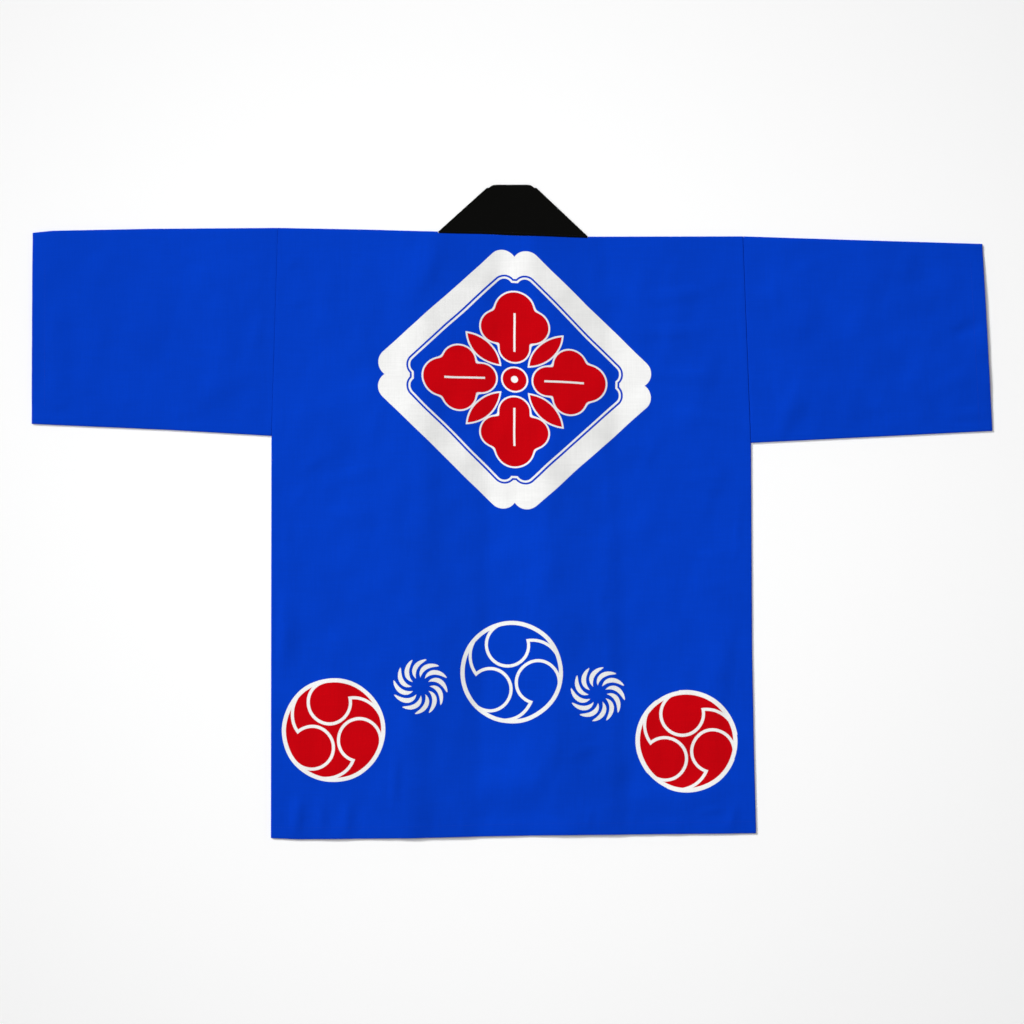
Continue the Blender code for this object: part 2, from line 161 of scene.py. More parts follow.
BACK_FOLDS = (
    Fold("from the neck's left corner", -113, 292, 25, 88, 46, 20, 1.9),
    Fold("left collar seam, upper", -110, 45, 0, 230, 95, 24, 1.7),
    Fold("left collar seam, lower", -122, -290, 1, 170, 80, 30, 1.9),
    Fold("right collar's free edge", 46, 60, -1, 240, 80, 46, 1.2),
    Fold("right collar seam", 118, -60, -1, 150, 42, 26, 0.6),
    Fold("below the right shoulder, first", 205, 272, 82, 72, 13, 17, 1.2),
    Fold("below the right shoulder, second", 200, 226, 88, 66, 12, 14, 1.1),
    Fold("below the right shoulder, third", 214, 172, 95, 64, 13, 16, 1.2),
    Fold("below the right shoulder, fourth", 238, 118, 100, 60, 14, 16, 1.0),
    Fold("below the right shoulder, last", 232, 42, 86, 54, 13, 15, 0.9),
    Fold("left side, upper", -204, 44, 75, 46, 15, 13, 0.7),
    Fold("left side, middle", -214, -4, 100, 40, 14, 12, 0.65),
    Fold("rolled left edge", -284, -150, 2, 78, 14, 22, 2.2),
    Fold("above the hem, centre", -8, -342, 88, 92, 30, 40, 2.0),
    Fold("above the hem, right of centre", 30, -322, 28, 70, 52, 30, 2.6),
    Fold("right hem", 205, -352, 84, 95, 24, 34, 1.7),
    Fold("left hem, first pucker", -268, -380, 4, 36, 11, 11, 1.7),
    Fold("left hem, second pucker", -238, -384, -6, 30, 11, 10, 1.4),
    Fold("left hem, third pucker", -206, -382, 5, 34, 12, 12, 1.5),
    Fold("crease above the left hem", -146, -338, 3, 52, 11, 9, 1.3),
    Fold("right side, low", 262, -196, 12, 92, 36, 22, 1.1),
)
BACK_CREASES = (
    Fold("right side, first", 250, 29, 96, 46, 9, 8, 0.6),
    Fold("right side, second", 246, -54, 92, 40, 8, 8, 0.5),
    Fold("right side, third", 255, -92, 84, 36, 8, 9, 0.45),
    Fold("right of the centre, upper", 113, -104, 8, 26, 8, 9, 0.5),
    Fold("right of the centre, lower", 121, -179, -6, 32, 9, 9, 0.55),
    Fold("left armhole, upper", -277, 309, 40, 22, 9, 8, 0.5),
    Fold("left armhole, lower", -262, 264, 80, 30, 8, 9, 0.45),
    Fold("left armhole, last", -252, 196, 64, 26, 8, 8, 0.35),
    Fold("under the left arm, first", -246, 62, 58, 34, 10, 9, 0.5),
    Fold("under the left arm, second", -262, 22, 40, 26, 9, 8, 0.4),
    Fold("left of the frame, first", -168, 118, 18, 42, 12, 9, 0.35),
    Fold("left of the frame, second", -186, 214, -12, 36, 10, 10, 0.3),
    Fold("right of the frame", 172, 72, 30, 38, 10, 9, 0.35),
    Fold("left of the middle", -64, -64, 4, 60, 12, 16, 0.4),
    Fold("middle, lower", 8, -118, -10, 44, 14, 12, 0.3),
    Fold("right of the middle roundel", 92, -296, 70, 40, 10, 12, 0.6),
    Fold("below the right roundel", 246, -374, 78, 34, 9, 8, 0.6),
    Fold("right hem, first", 96, -384, 8, 22, 8, 8, 0.7),
    Fold("right hem, second", 152, -386, -9, 20, 8, 9, 0.6),
    Fold("right hem, third", 276, -380, 12, 24, 9, 8, 0.7),
    Fold("centre hem, first", -62, -390, 5, 20, 9, 8, 0.6),
    Fold("centre hem, second", -22, -388, -8, 18, 8, 8, 0.5),
    Fold("left edge, lower", -284, -276, -4, 40, 9, 12, 0.5),
    Fold("left edge, upper", -283, -30, 4, 46, 9, 12, 0.6),
    Fold("right edge, upper", 282, -20, -3, 52, 12, 9, 0.45),
    Fold("right edge, lower", 286, -300, 3, 44, 12, 8, 0.5),
)
LEFT_SLEEVE_FOLDS = (
    Fold("dip under the cuff's top edge", -538, 322, 8, 52, 22, 26, -1.1),
    Fold("along the cuff", -572, 205, 2, 118, 18, 24, 0.9),
    Fold("middle of the sleeve", -455, 236, 20, 92, 44, 30, 0.9),
    Fold("towards the underarm", -352, 160, 60, 74, 26, 22, 0.5),
    Fold("below the top edge, first", -408, 318, 66, 40, 12, 10, 0.45),
    Fold("below the top edge, second", -330, 306, 52, 34, 10, 11, 0.4),
    Fold("above the underarm, first", -480, 138, 82, 38, 10, 10, 0.45),
    Fold("above the underarm, second", -404, 126, 70, 30, 9, 10, 0.4),
    Fold("beside the armhole", -318, 224, 12, 44, 10, 9, 0.45),
    Fold("cuff's lower corner", -560, 138, 48, 28, 9, 9, 0.5),
)
RIGHT_SLEEVE_FOLDS = (
    Fold("hollow beside the seam", 317, 128, -4, 92, 14, 20, -1.5),
    Fold("fold from the underarm", 350, 136, 18, 86, 16, 24, 1.3),
    Fold("middle of the sleeve", 432, 232, -12, 92, 40, 36, 0.9),
    Fold("dimple by the cuff", 566, 228, 68, 28, 12, 13, -1.5),
    Fold("below the dimple", 545, 160, 62, 58, 18, 18, 1.0),
    Fold("cuff's lower corner", 568, 122, 82, 38, 12, 12, 1.0),
    Fold("below the top edge, first", 372, 308, 74, 36, 10, 10, 0.45),
    Fold("below the top edge, second", 486, 300, 96, 40, 11, 10, 0.45),
    Fold("above the underarm", 462, 132, 84, 36, 10, 9, 0.5),
    Fold("beside the armhole", 330, 268, -10, 40, 9, 9, 0.5),
    Fold("towards the cuff", 516, 252, 20, 44, 10, 12, 0.4),
)

# Hollows on the underside, where the cloth stands clear of what the coat lies on
LEFT_UNDER_FOLDS = (
    Fold("front, upper", -196, 236, 76, 52, 18, 15, 0.8),
    Fold("front, beside the collar", -140, 40, 3, 150, 16, 22, 0.9),
    Fold("front, side", -262, -60, 12, 90, 20, 16, 0.8),
    Fold("front, above the hem", -214, -340, 82, 60, 16, 20, 0.9),
    Fold("front, low", -166, -262, 30, 46, 14, 12, 0.6),
    Fold("sleeve, middle", -446, 226, 14, 78, 26, 20, 0.7),
    Fold("sleeve, cuff", -556, 196, -6, 58, 14, 16, 0.6),
    Fold("sleeve, underarm", -350, 164, 58, 52, 16, 14, 0.6),
)
RIGHT_UNDER_FOLDS = (
    Fold("front, upper", 206, 252, 98, 48, 15, 18, 0.8),
    Fold("front, beside the collar", 146, -30, -3, 160, 20, 15, 0.9),
    Fold("front, side", 268, -110, -10, 84, 15, 20, 0.8),
    Fold("front, above the hem", 198, -336, 94, 66, 18, 15, 0.9),
    Fold("front, low", 240, -240, 146, 44, 12, 14, 0.6),
    Fold("sleeve, middle", 438, 214, -16, 74, 20, 26, 0.7),
    Fold("sleeve, cuff", 552, 190, 8, 56, 16, 14, 0.6),
    Fold("sleeve, underarm", 352, 150, 120, 50, 14, 16, 0.6),
)

# Uneven lie of the cloth between its folds: how high, how far from crest to crest, its least and
# most share of that, and how many waves
RIPPLE_HEIGHT = 0.3
RIPPLE_LENGTH = 46.0
RIPPLE_SPREAD = (0.5, 1.9)
RIPPLE_WAVES = 18
RIPPLE_EASE = 24.0
RIPPLE_SEED = 8

# A piece of cloth is named after its solid, with this added
CLOTH_NAME = "_cloth"

# The pieces that come in pairs. Hand is -1 on the left and 1 on the right.
Front = namedtuple("Front", "node side seam hand folds")
Sleeve = namedtuple("Sleeve", "node armhole cuff underarm folds under_folds seam_turn hand")

FRONTS = (
    Front("front_left", SIDE_LEFT, COLLAR_SEAM_LEFT, -1, LEFT_UNDER_FOLDS),
    Front("front_right", SIDE_RIGHT, COLLAR_SEAM_RIGHT, 1, RIGHT_UNDER_FOLDS),
)
SLEEVES = (
    Sleeve("sleeve_left", SIDE_LEFT, CUFF_LEFT, UNDERARM_LEFT,
           LEFT_SLEEVE_FOLDS, LEFT_UNDER_FOLDS, FLAT_SEAM_TURN, -1),
    Sleeve("sleeve_right", SIDE_RIGHT, CUFF_RIGHT, UNDERARM_RIGHT,
           RIGHT_SLEEVE_FOLDS, RIGHT_UNDER_FOLDS, SEAM_TURN, 1),
)

# The sheets as they were cut, in millimetres, and the area of each in square millimetres
Cut = namedtuple("Cut", "width length area")

# Stitches, in threads that match their cloth. Their sizes vary between the least and the most.
STITCH_PITCH = 3.2
STITCH_LENGTH = 2.3
STITCH_WIDTH = 0.3
STITCH_DEPTH = 0.05
STITCH_LINE_STEP = 6.0
STITCH_SEGMENTS = 6
STITCH_RINGS = 5
STITCH_LEAST = (0.92, 0.9, 0.9)
STITCH_MOST = (1.06, 1.1, 1.1)
STITCH_SEED = 3

# How far a row of stitches lies from its edge, and how far short of its cloth's ends it stops
HEM_STITCH_INSET = 1.5
HEM_STITCH_END = 4.0
CUFF_STITCH_END = 24.0
COLLAR_STITCH_INSET = 3.0

# The collar lies flat where it faces up or down by more than this
FLAT_FACING = 0.999

# Colours, as they look on the real cloth
BLUE = "#023bbe"
RED = "#c0020d"
WHITE = "#eeeeed"
BLACK = "#0a0a09"
PAPER = "#fcfcfc"


def mix(start, end, share):
    return start + (end - start) * share


def read_edge(edge, place, along="x"):
    """The edge's other coordinate at places along X or along Y. Between its rows it runs straight."""
    x, y = np.array(edge).T
    return np.interp(place, x, y) if along == "x" else np.interp(place, y, x)


def fall(distance, reach):
    """1 on a crest and 0 at its reach, round at both."""
    share = np.minimum(1.0, np.abs(distance) / reach)
    return np.cos(0.5 * np.pi * share) ** 2


def ease(distance, reach):
    """0 on an edge and 1 at the reach and beyond."""
    return 1.0 - fall(np.maximum(0.0, distance), reach)


def folds_height(folds, x, y):
    total = np.zeros(np.broadcast(x, y).shape)
    for fold in folds:
        turn = math.radians(fold.turn)
        along = (x - fold.x) * math.sin(turn) + (y - fold.y) * math.cos(turn)
        across = (x - fold.x) * math.cos(turn) - (y - fold.y) * math.sin(turn)
        reach = np.where(across > 0, fold.right, fold.left)
        total += fold.height * fall(along, fold.half_length) * fall(across, reach)
    return total


def ripples(x, y):
    """The small uneven lie of the cloth, as waves of seeded directions and lengths."""
    draw = np.random.default_rng(RIPPLE_SEED)
    total = np.zeros(np.broadcast(x, y).shape)
    for _ in range(RIPPLE_WAVES):
        heading, start = draw.uniform(0.0, 2.0 * math.pi, 2)
        length = RIPPLE_LENGTH * draw.uniform(*RIPPLE_SPREAD)
        along = x * math.cos(heading) + y * math.sin(heading)
        total += np.cos(along * 2.0 * math.pi / length + start)
    return RIPPLE_HEIGHT * total / math.sqrt(RIPPLE_WAVES)


def collar_edges(y):
    """X of the four lines of the collar's two ends at a height Y, from left to right."""
    left_seam = read_edge(COLLAR_SEAM_LEFT, y, "y")
    right_seam = read_edge(COLLAR_SEAM_RIGHT, y, "y")
    return left_seam, left_seam + COLLAR_WIDTH, right_seam - COLLAR_WIDTH, right_seam


def over_collar(x, y, ramp=COLLAR_RAMP):
    """1 where an end of the collar lies under the back, and 0 past the ramp beside it."""
    left_seam, left_free, right_free, right_seam = collar_edges(y)
    outside = np.maximum(left_seam - x, x - right_seam)
    inside = np.minimum(x - left_free, right_free - x)
    clear = np.maximum(outside, inside) - COLLAR_MARGIN
    return 1.0 - ease(clear, ramp - COLLAR_MARGIN)


def over_opening(x, y, ramp):
    """1 between the collar's two ends, where no front lies under the back."""
    _, left_free, right_free, _ = collar_edges(y)
    return ease(np.minimum(x - left_free, right_free - x), ramp)


def back_face(x, y):
    """Height of the back's right side. Above the underarm its right edge stands a little high."""
    from_side = np.minimum(x - read_edge(SIDE_LEFT, y, "y"), read_edge(SIDE_RIGHT, y, "y") - x)
    from_top = read_edge(TOP_EDGE, x) - y
    from_hem = y - read_edge(HEM, x)
    air = BACK_AIR * ease(from_side, EDGE_EASE) * ease(from_top, EDGE_EASE)
    lift = folds_height(BACK_FOLDS, x, y) + folds_height(BACK_CREASES, x, y)
    lift += ripples(x, y) * ease(np.minimum(from_side, from_top), RIPPLE_EASE)
    lift -= HEM_STEP * ease(from_hem - HEM_DEPTH, HEM_STEP_WIDTH)
    underarm = np.where(x < 0, read_edge(UNDERARM_LEFT, x), read_edge(UNDERARM_RIGHT, x))
    above_underarm = ease(y - underarm, ARMHOLE_LIFT_REACH)
    lift += (x > 0) * ARMHOLE_LIFT * fall(from_side, ARMHOLE_LIFT_REACH) * above_underarm
    under = SOLID_CLOTH + (SOLID_COLLAR - SOLID_CLOTH) * over_collar(x, y)
    return under + SEAM_GAP + SOLID_CLOTH + np.maximum(0.0, air + lift)


def sleeve_face(sleeve, x, y):
    """Height of the upper wall's right side on a sleeve."""
    from_edge = np.minimum(y - read_edge(sleeve.underarm, x), read_edge(TOP_EDGE, x) - y)
    from_armhole = np.abs(x - read_edge(sleeve.armhole, y, "y"))
    air = SLEEVE_AIR * ease(from_edge, EDGE_EASE) * ease(from_armhole, EDGE_EASE)
    lift = air + folds_height(sleeve.folds, x, y) + ripples(x, y)
    return 2.0 * SOLID_CLOTH + SEAM_GAP + np.maximum(0.0, lift) * ease(from_edge, SLEEVE_EDGE_EASE)


# A sheet of cloth is a grid of points in the middle of its wall, rows by columns, the way its right
# side faces at each, and which cells are filled. On a ring the last column joins the first.
Sheet = namedtuple("Sheet", "middle facing filled")


def new_sheet(middle, facing, ring=False):
    rows, columns = middle.shape[:2]
    filled = np.ones((rows - 1, columns if ring else columns - 1), bool)
    return Sheet(middle, np.broadcast_to(facing, middle.shape), filled)


def points(x, y, z):
    return np.stack(np.broadcast_arrays(x, y, z), axis=-1).astype(float)


def unit(vectors):
    return vectors / np.linalg.norm(vectors, axis=-1, keepdims=True)


def turn_edge(sheet, edge, outward, radius, degrees=90.0, lap=0):
    """The sheet with one edge turned over towards its wrong side.

    radius runs to the middle of the cloth. lap is how many of the sheet's rows lie again on its
    wrong side, as in a hem.
    """
    sideways = edge in ("left", "right")
    from_end = edge in ("top", "right")
    parts = [part.swapaxes(0, 1) if sideways else part for part in sheet]
    middle, facing, filled = [part[::-1] if from_end else part for part in parts]
    radius = np.broadcast_to(radius, middle.shape[1:2])[:, None]
    turned = [(middle[row] - 2.0 * radius * facing[row], -facing[row]) for row in range(lap, 0, -1)]
    for angle in np.radians(np.linspace(degrees, 0.0, TURN_STEPS, endpoint=False)):
        down = facing[0] * radius * (1.0 - math.cos(angle))
        turned.append((middle[0] + outward * radius * math.sin(angle) - down,
                       facing[0] * math.cos(angle) + outward * math.sin(angle)))
    new_middle = np.concatenate([[entry[0] for entry in turned], middle])
    new_facing = np.concatenate([[entry[1] for entry in turned], facing])
    new_filled = np.concatenate([np.repeat(filled[:1], len(turned), axis=0), filled])
    parts = [new_middle, new_facing, new_filled]
    parts = [part[::-1] if from_end else part for part in parts]
    return Sheet(*[part.swapaxes(0, 1) if sideways else part for part in parts])


def new_object(name, data):
    made = bpy.data.objects.new(name, data)
    bpy.context.scene.collection.objects.link(made)
    return made


def make_wall(node, sheet, materials):
    """A closed wall of cloth. Its right side has the first material and the rest the last."""
    rows, columns = sheet.middle.shape[:2]
    count = rows * columns
    half = sheet.facing * CLOTH / 2
    corners = np.concatenate([sheet.middle + half, sheet.middle - half]).reshape(-1, 3)
    index = np.arange(count).reshape(rows, columns)
    after = np.roll(index, -1, axis=1)
    wide = sheet.filled.shape[1]
    cells = np.stack([index[:-1], after[:-1], after[1:], index[1:]], axis=-1)[:, :wide]
    right_side = cells[sheet.filled]
    edges = np.concatenate([right_side[:, [start, (start + 1) % 4]] for start in range(4)])
    there = edges[:, 0] * count + edges[:, 1]
    back_again = edges[:, 1] * count + edges[:, 0]
    rim = edges[~np.isin(there, back_again)]
    rim_faces = np.stack([rim[:, 1], rim[:, 0], rim[:, 0] + count, rim[:, 1] + count], axis=1)
    faces = np.concatenate([right_side, right_side[:, ::-1] + count, rim_faces])
    used, faces = np.unique(faces, return_inverse=True)
    faces = faces.reshape(-1, 4)
    corners = corners[used] * MM
    first, second, third, _ = np.moveaxis(corners[faces], 1, 0)
    if np.einsum("ij,ij->", first, np.cross(second - first, third - first)) < 0:
        faces = faces[:, ::-1]
    mesh = bpy.data.meshes.new(node + CLOTH_NAME)
    mesh.from_pydata(corners.tolist(), [], faces.tolist())
    for material in materials:
        mesh.materials.append(material)
    slots = np.full(len(faces), len(materials) - 1, np.int32)
    slots[:len(right_side)] = 0
    mesh.polygons.foreach_set("material_index", slots)
    mesh.shade_smooth()
    mesh.set_sharp_from_angle(angle=math.radians(SHARP_ANGLE))
    return new_object(mesh.name, mesh)


def store_shades(piece):
    """What lies under each point of the back, which its material reads to paint its show-through shade.
    """
    places = np.empty(len(piece.data.vertices) * 3)
    piece.data.vertices.foreach_get("co", places)
    x, y, _ = places.reshape(-1, 3).T / MM
    for name, value_at in (("over_collar", over_collar), ("over_opening", over_opening)):
        attribute = piece.data.attributes.new(name, "FLOAT", "POINT")
        attribute.data.foreach_set("value", value_at(x, y, SHADE_RAMP).astype(np.float32))


def side_radii(rows, hem_rows, shoulder_rows, full):
    """The radius of a side's turn on each row, smaller where the hem or the shoulder turns too."""
    radii = np.full(rows, full)
    radii[:hem_rows] = np.minimum(full, np.linspace(HEM_CORNER_TURN, full, hem_rows))
    radii[:HEM_ROWS] = HEM_CORNER_TURN
    if shoulder_rows:
        radii[-shoulder_rows:] = np.linspace(full, full / 2, shoulder_rows)
    return radii


def make_back(printed, plain):
    neck_left = NECK_SEAM[0].x - NECK_MARGIN
    neck_right = NECK_SEAM[-1].x + NECK_MARGIN
    up = np.linspace(0.0, 1.0, BACK_ROWS + 1)[:, None]
    guide = mix(HEM[0].y, LEFT_SHOULDER.y, up)
    left_turn = mix(SIDE_TURN, FLAT_SEAM_TURN, ease(guide - UNDERARM_LEFT[-1].y, ARMHOLE_LIFT_REACH))
    left = read_edge(SIDE_LEFT, guide, "y") + left_turn + CLOTH / 2
    right = read_edge(SIDE_RIGHT, mix(HEM[-1].y, RIGHT_SHOULDER.y, up), "y") - SIDE_TURN - CLOTH / 2
    side_share = np.linspace(0.0, 1.0, BACK_SIDE_COLUMNS + 1)
    neck_x = np.linspace(neck_left + NECK_NOTCH, neck_right - NECK_NOTCH, BACK_NECK_COLUMNS)
    neck_x = np.broadcast_to(neck_x, (BACK_ROWS + 1, BACK_NECK_COLUMNS))
    x = [mix(left, neck_left, side_share), neck_x, mix(neck_right, right, side_share)]
    x = np.concatenate(x, axis=1)
    neck = (x[-1] > neck_left + NECK_CLEAR) & (x[-1] < neck_right - NECK_CLEAR)
    top = read_edge(TOP_EDGE, x[-1])
    high = np.where(neck, read_edge(NECK_SEAM, x[-1]) - SEAM_SLIT - SEAM_TURN - CLOTH / 2,
                    top - back_face(x[-1], top) / 2)
    low = read_edge(HEM, x) + HEM_TURN + CLOTH / 2
    y = mix(low, np.interp(x, x[-1], high), up)
    sheet = new_sheet(points(x, y, back_face(x, y) - CLOTH / 2), UP)

    # Over each shoulder the cloth turns right under, and at the neck only into the seam
    last = sheet.middle[-1]
    radius = np.where(neck, SEAM_TURN, (last[:, 2] - CLOTH / 2) / 2)
    sheet = turn_edge(sheet, "top", NORTH, radius, 180.0)
    in_neck = neck[1:] & neck[:-1]
    sheet.filled[-TURN_STEPS // 2:, in_neck] = False
    sheet.filled[-TURN_STEPS:, neck[1:] != neck[:-1]] = False
    wrap_end = top - SHOULDER_WRAP + SEAM_SLIT + SHOULDER_SEAM_TURN + CLOTH / 2
    shares = np.linspace(0.0, 1.0, WRAP_ROWS + 1)[1:]
    wrap = [points(last[:, 0], mix(last[:, 1], wrap_end, share), CLOTH / 2) for share in shares]
    filled = np.repeat(sheet.filled[-1:], WRAP_ROWS, axis=0)
    more = (wrap, np.broadcast_to(-UP, np.shape(wrap)), filled)
    sheet = Sheet(*[np.concatenate(parts) for parts in zip(sheet, more)])
    sheet = turn_edge(sheet, "top", -NORTH, SHOULDER_SEAM_TURN)
    sheet = turn_edge(sheet, "bottom", -NORTH, HEM_TURN, 180.0, HEM_ROWS)
    radii = side_radii(len(sheet.middle), HEM_ROWS + TURN_STEPS, 2 * TURN_STEPS + WRAP_ROWS, SIDE_TURN)
    left_radii = radii.copy()
    first = HEM_ROWS + TURN_STEPS
    end = first + BACK_ROWS + 1
    left_radii[first:end] = np.minimum(radii[first:end], left_turn[:, 0])
    left_radii[end:] = FLAT_SEAM_TURN
    sheet = turn_edge(sheet, "left", -EAST, left_radii)
    sheet = turn_edge(sheet, "right", EAST, radii)
    piece = make_wall("back", sheet, [printed, plain])
    store_shades(piece)
    return piece


def make_front(front, material):
    """One front, on the surface, from the collar's seam out to its side seam."""
    inset = FRONT_SIDE_TURN + CLOTH / 2
    seam_inset = front.hand * (SEAM_SLIT + SEAM_TURN + CLOTH / 2)
    up = np.linspace(0.0, 1.0, FRONT_ROWS + 1)[:, None]
    away = np.linspace(0.0, 1.0, FRONT_COLUMNS + 1)
    y = mix(front.seam[0].y, front.seam[-1].y, up)
    # Each of x and y hangs on the other, and a second round settles them
    for _ in range(2):
        seam_x = read_edge(front.seam, y, "y") + seam_inset
        x = mix(seam_x, read_edge(front.side, y, "y") - front.hand * inset, away)
        low = read_edge(HEM, x) + FRONT_HEM_RISE + HEM_TURN + CLOTH / 2
        high = read_edge(TOP_EDGE, x) - SHOULDER_WRAP - SEAM_SLIT - SHOULDER_SEAM_TURN - CLOTH / 2
        y = mix(low, high, up)
    from_edge = np.minimum(np.minimum(np.abs(x - seam_x), y - low), high - y)
    rise = folds_height(front.folds, x, y) * ease(from_edge, RIPPLE_EASE)
    sheet = new_sheet(points(x, y, CLOTH / 2 + rise), -UP)
    sheet = turn_edge(sheet, "top", NORTH, SHOULDER_SEAM_TURN)
    sheet = turn_edge(sheet, "bottom", -NORTH, HEM_TURN, 180.0, HEM_ROWS)
    for edge, outward, turn in (("left", -EAST, SEAM_TURN), ("right", EAST, FRONT_SIDE_TURN)):
        radii = side_radii(len(sheet.middle), HEM_ROWS + TURN_STEPS, 0, turn)
        sheet = turn_edge(sheet, edge, outward * front.hand, radii)
    return make_wall(front.node, sheet, [material])


def make_sleeve(sleeve, material):
    """A sleeve folded along its top edge and sewn along the underarm, so it is a flattened tube."""
    outer = (2.0 * SOLID_CLOTH + SEAM_GAP) / 2
    radius = outer - CLOTH / 2
    out = np.linspace(0.0, 1.0, SLEEVE_STATIONS + 1)[:, None]
    share = np.linspace(0.0, 1.0, SLEEVE_STEPS + 1)
    middle_y = (sleeve.underarm[0].y + sleeve.underarm[-1].y) / 2 + SLEEVE_HALF_DEPTH
    x = mix(read_edge(sleeve.armhole, middle_y, "y"), read_edge(sleeve.cuff, middle_y, "y"), out)
    y = mix(read_edge(sleeve.underarm, x), read_edge(TOP_EDGE, x), share)
    start = read_edge(sleeve.armhole, y, "y") + sleeve.hand * (SEAM_SLIT + sleeve.seam_turn + CLOTH / 2)
    end = read_edge(sleeve.cuff, y, "y") - sleeve.hand * (HEM_TURN + CLOTH / 2)
    x = mix(start, end, out)
    y = mix(read_edge(sleeve.underarm, x) + outer, read_edge(TOP_EDGE, x) - outer, share)
    from_end = np.minimum(np.abs(x - start), np.abs(end - x))
    from_edge = np.minimum(y - y[:, :1], y[:, -1:] - y)
    rise = folds_height(sleeve.under_folds, x, y) * ease(np.minimum(from_end, from_edge), RIPPLE_EASE)
    under = points(x, y, CLOTH / 2 + rise)
    over = points(x, y, sleeve_face(sleeve, x, y) - CLOTH / 2)
    over[:, 0, 2] = over[:, -1, 2] = 2.0 * outer - CLOTH / 2
    middle, facing = [], []
    walls = ((under, -UP, under[:, -1:], 1), (over[:, ::-1], UP, under[:, :1], -1))
    for wall, way, edge, side in walls:
        angles = np.radians(np.linspace(-90.0, 90.0, TURN_STEPS + 1)[1:-1])[::side]
        turned = np.stack([NORTH * side * math.cos(angle) + UP * math.sin(angle) for angle in angles])
        turn = edge + UP * radius + turned * radius
        middle += [wall, turn]
        facing += [np.broadcast_to(way, wall.shape), np.broadcast_to(turned, turn.shape)]
    sheet = new_sheet(np.concatenate(middle, axis=1), np.concatenate(facing, axis=1), ring=True)
    sheet = turn_edge(sheet, "bottom", -EAST * sleeve.hand, sleeve.seam_turn)
    sheet = turn_edge(sheet, "top", EAST * sleeve.hand, HEM_TURN, 180.0, HEM_ROWS)
    return make_wall(sleeve.node, sheet, [material])


def collar_end(seam, seam_corner, free_corner, side):
    """One end of the collar, from its hem up beside the neck and round its fold there.

    It gives the two long edges and the way the cloth faces.
    """
    hem_y = read_edge(HEM, seam[0].x) + FRONT_HEM_RISE + SEAM_TURN
    seam_y = np.linspace(hem_y, seam_corner.y, COLLAR_END_ROWS + 1)
    free_y = mix(hem_y, free_corner.y, (seam_y - hem_y) / (seam_corner.y - hem_y))
    straight = read_edge(seam, free_y, "y") + side * COLLAR_WIDTH
    to_corner = ease(free_y - COLLAR_TURN_IN, free_corner.y - COLLAR_TURN_IN)
    seam_edge = points(read_edge(seam, seam_y, "y"), seam_y, SOLID_COLLAR / 2)
    free_edge = points(mix(straight, free_corner.x, to_corner), free_y, SOLID_COLLAR / 2)
    radius = (SOLID_COLLAR + SEAM_GAP) / 2
    slant = unit((free_edge[-1] - seam_edge[-1])[:2])
    outward = np.array((-slant[1], slant[0], 0.0)) * side
    angles = np.radians(np.linspace(-90.0, 90.0, 2 * TURN_STEPS + 1)[1:-1])
    turned = np.stack([outward * math.cos(angle) + UP * math.sin(angle) for angle in angles])
    inward = np.array((-slant[0], -slant[1], 0.0)) * COLLAR_CORNER_ROUND * np.cos(angles)[:, None]
    return (np.concatenate([seam_edge, seam_edge[-1] + UP * radius + turned * radius]),
            np.concatenate([free_edge, free_edge[-1] + UP * radius + turned * radius + inward]),
            np.concatenate([np.broadcast_to(-UP, seam_edge.shape), turned]))


def collar_line():
    """The collar's two long edges and the way it faces, from one end round the neck to the other."""
    share = np.linspace(0.0, 1.0, COLLAR_NECK_ROWS + 1)
    height = SOLID_COLLAR / 2 + SOLID_COLLAR + SEAM_GAP - COLLAR_NECK_SAG * np.sin(np.pi * share) ** 2
    neck = []
    for edge in (NECK_SEAM, COLLAR_FREE_EDGE):
        x = mix(edge[0].x, edge[-1].x, share)
        neck.append(points(x, read_edge(edge, x), height))
    neck.append(np.broadcast_to(UP, neck[0].shape))
    left = collar_end(COLLAR_SEAM_LEFT, NECK_SEAM[0], COLLAR_FREE_EDGE[0], 1.0)
    right = collar_end(COLLAR_SEAM_RIGHT, NECK_SEAM[-1], COLLAR_FREE_EDGE[-1], -1.0)
    lines = zip(left, neck, right)
    return [np.concatenate([first, middle, last[::-1]]) for first, middle, last in lines]


def make_collar(material):
    """The band, folded double, as a flat tube of cloth whose long edges are round."""
    seam_line, free_line, facing = collar_line()
    across = unit(free_line - seam_line)
    outer = SOLID_COLLAR / 2
    radius = outer - CLOTH / 2
    share = np.linspace(0.0, 1.0, COLLAR_COLUMNS + 1)[None, :, None]
    core = mix((seam_line + across * outer)[:, None], (free_line - across * outer)[:, None], share)
    facing, across = facing[:, None], across[:, None]
    angles = np.linspace(0.0, math.pi, TURN_STEPS + 1)[1:-1]
    turned = [facing * math.cos(angle) + across * math.sin(angle) for angle in angles]
    turned = np.concatenate(turned, axis=1)
    ring_facing = np.concatenate([np.broadcast_to(facing, core.shape), turned,
                                  np.broadcast_to(-facing, core.shape), -turned], axis=1)
    ring_core = np.concatenate([core, np.broadcast_to(core[:, -1:], turned.shape), core[:, ::-1],
                                np.broadcast_to(core[:, :1], turned.shape)], axis=1)
    sheet = new_sheet(ring_core + ring_facing * radius, ring_facing, ring=True)
    for edge in ("bottom", "top"):
        sheet = turn_edge(sheet, edge, -NORTH, radius, COLLAR_END_CLOSE)
    return make_wall("collar", sheet, [material])


def linear(hex_colour):
    """A colour written as sRGB hex, as linear light."""
    parts = np.array([int(hex_colour[place:place + 2], 16) / 255 for place in (1, 3, 5)])
    light = np.where(parts <= 0.04045, parts / 12.92, ((parts + 0.055) / 1.055) ** 2.4)
    return (*light.tolist(), 1.0)


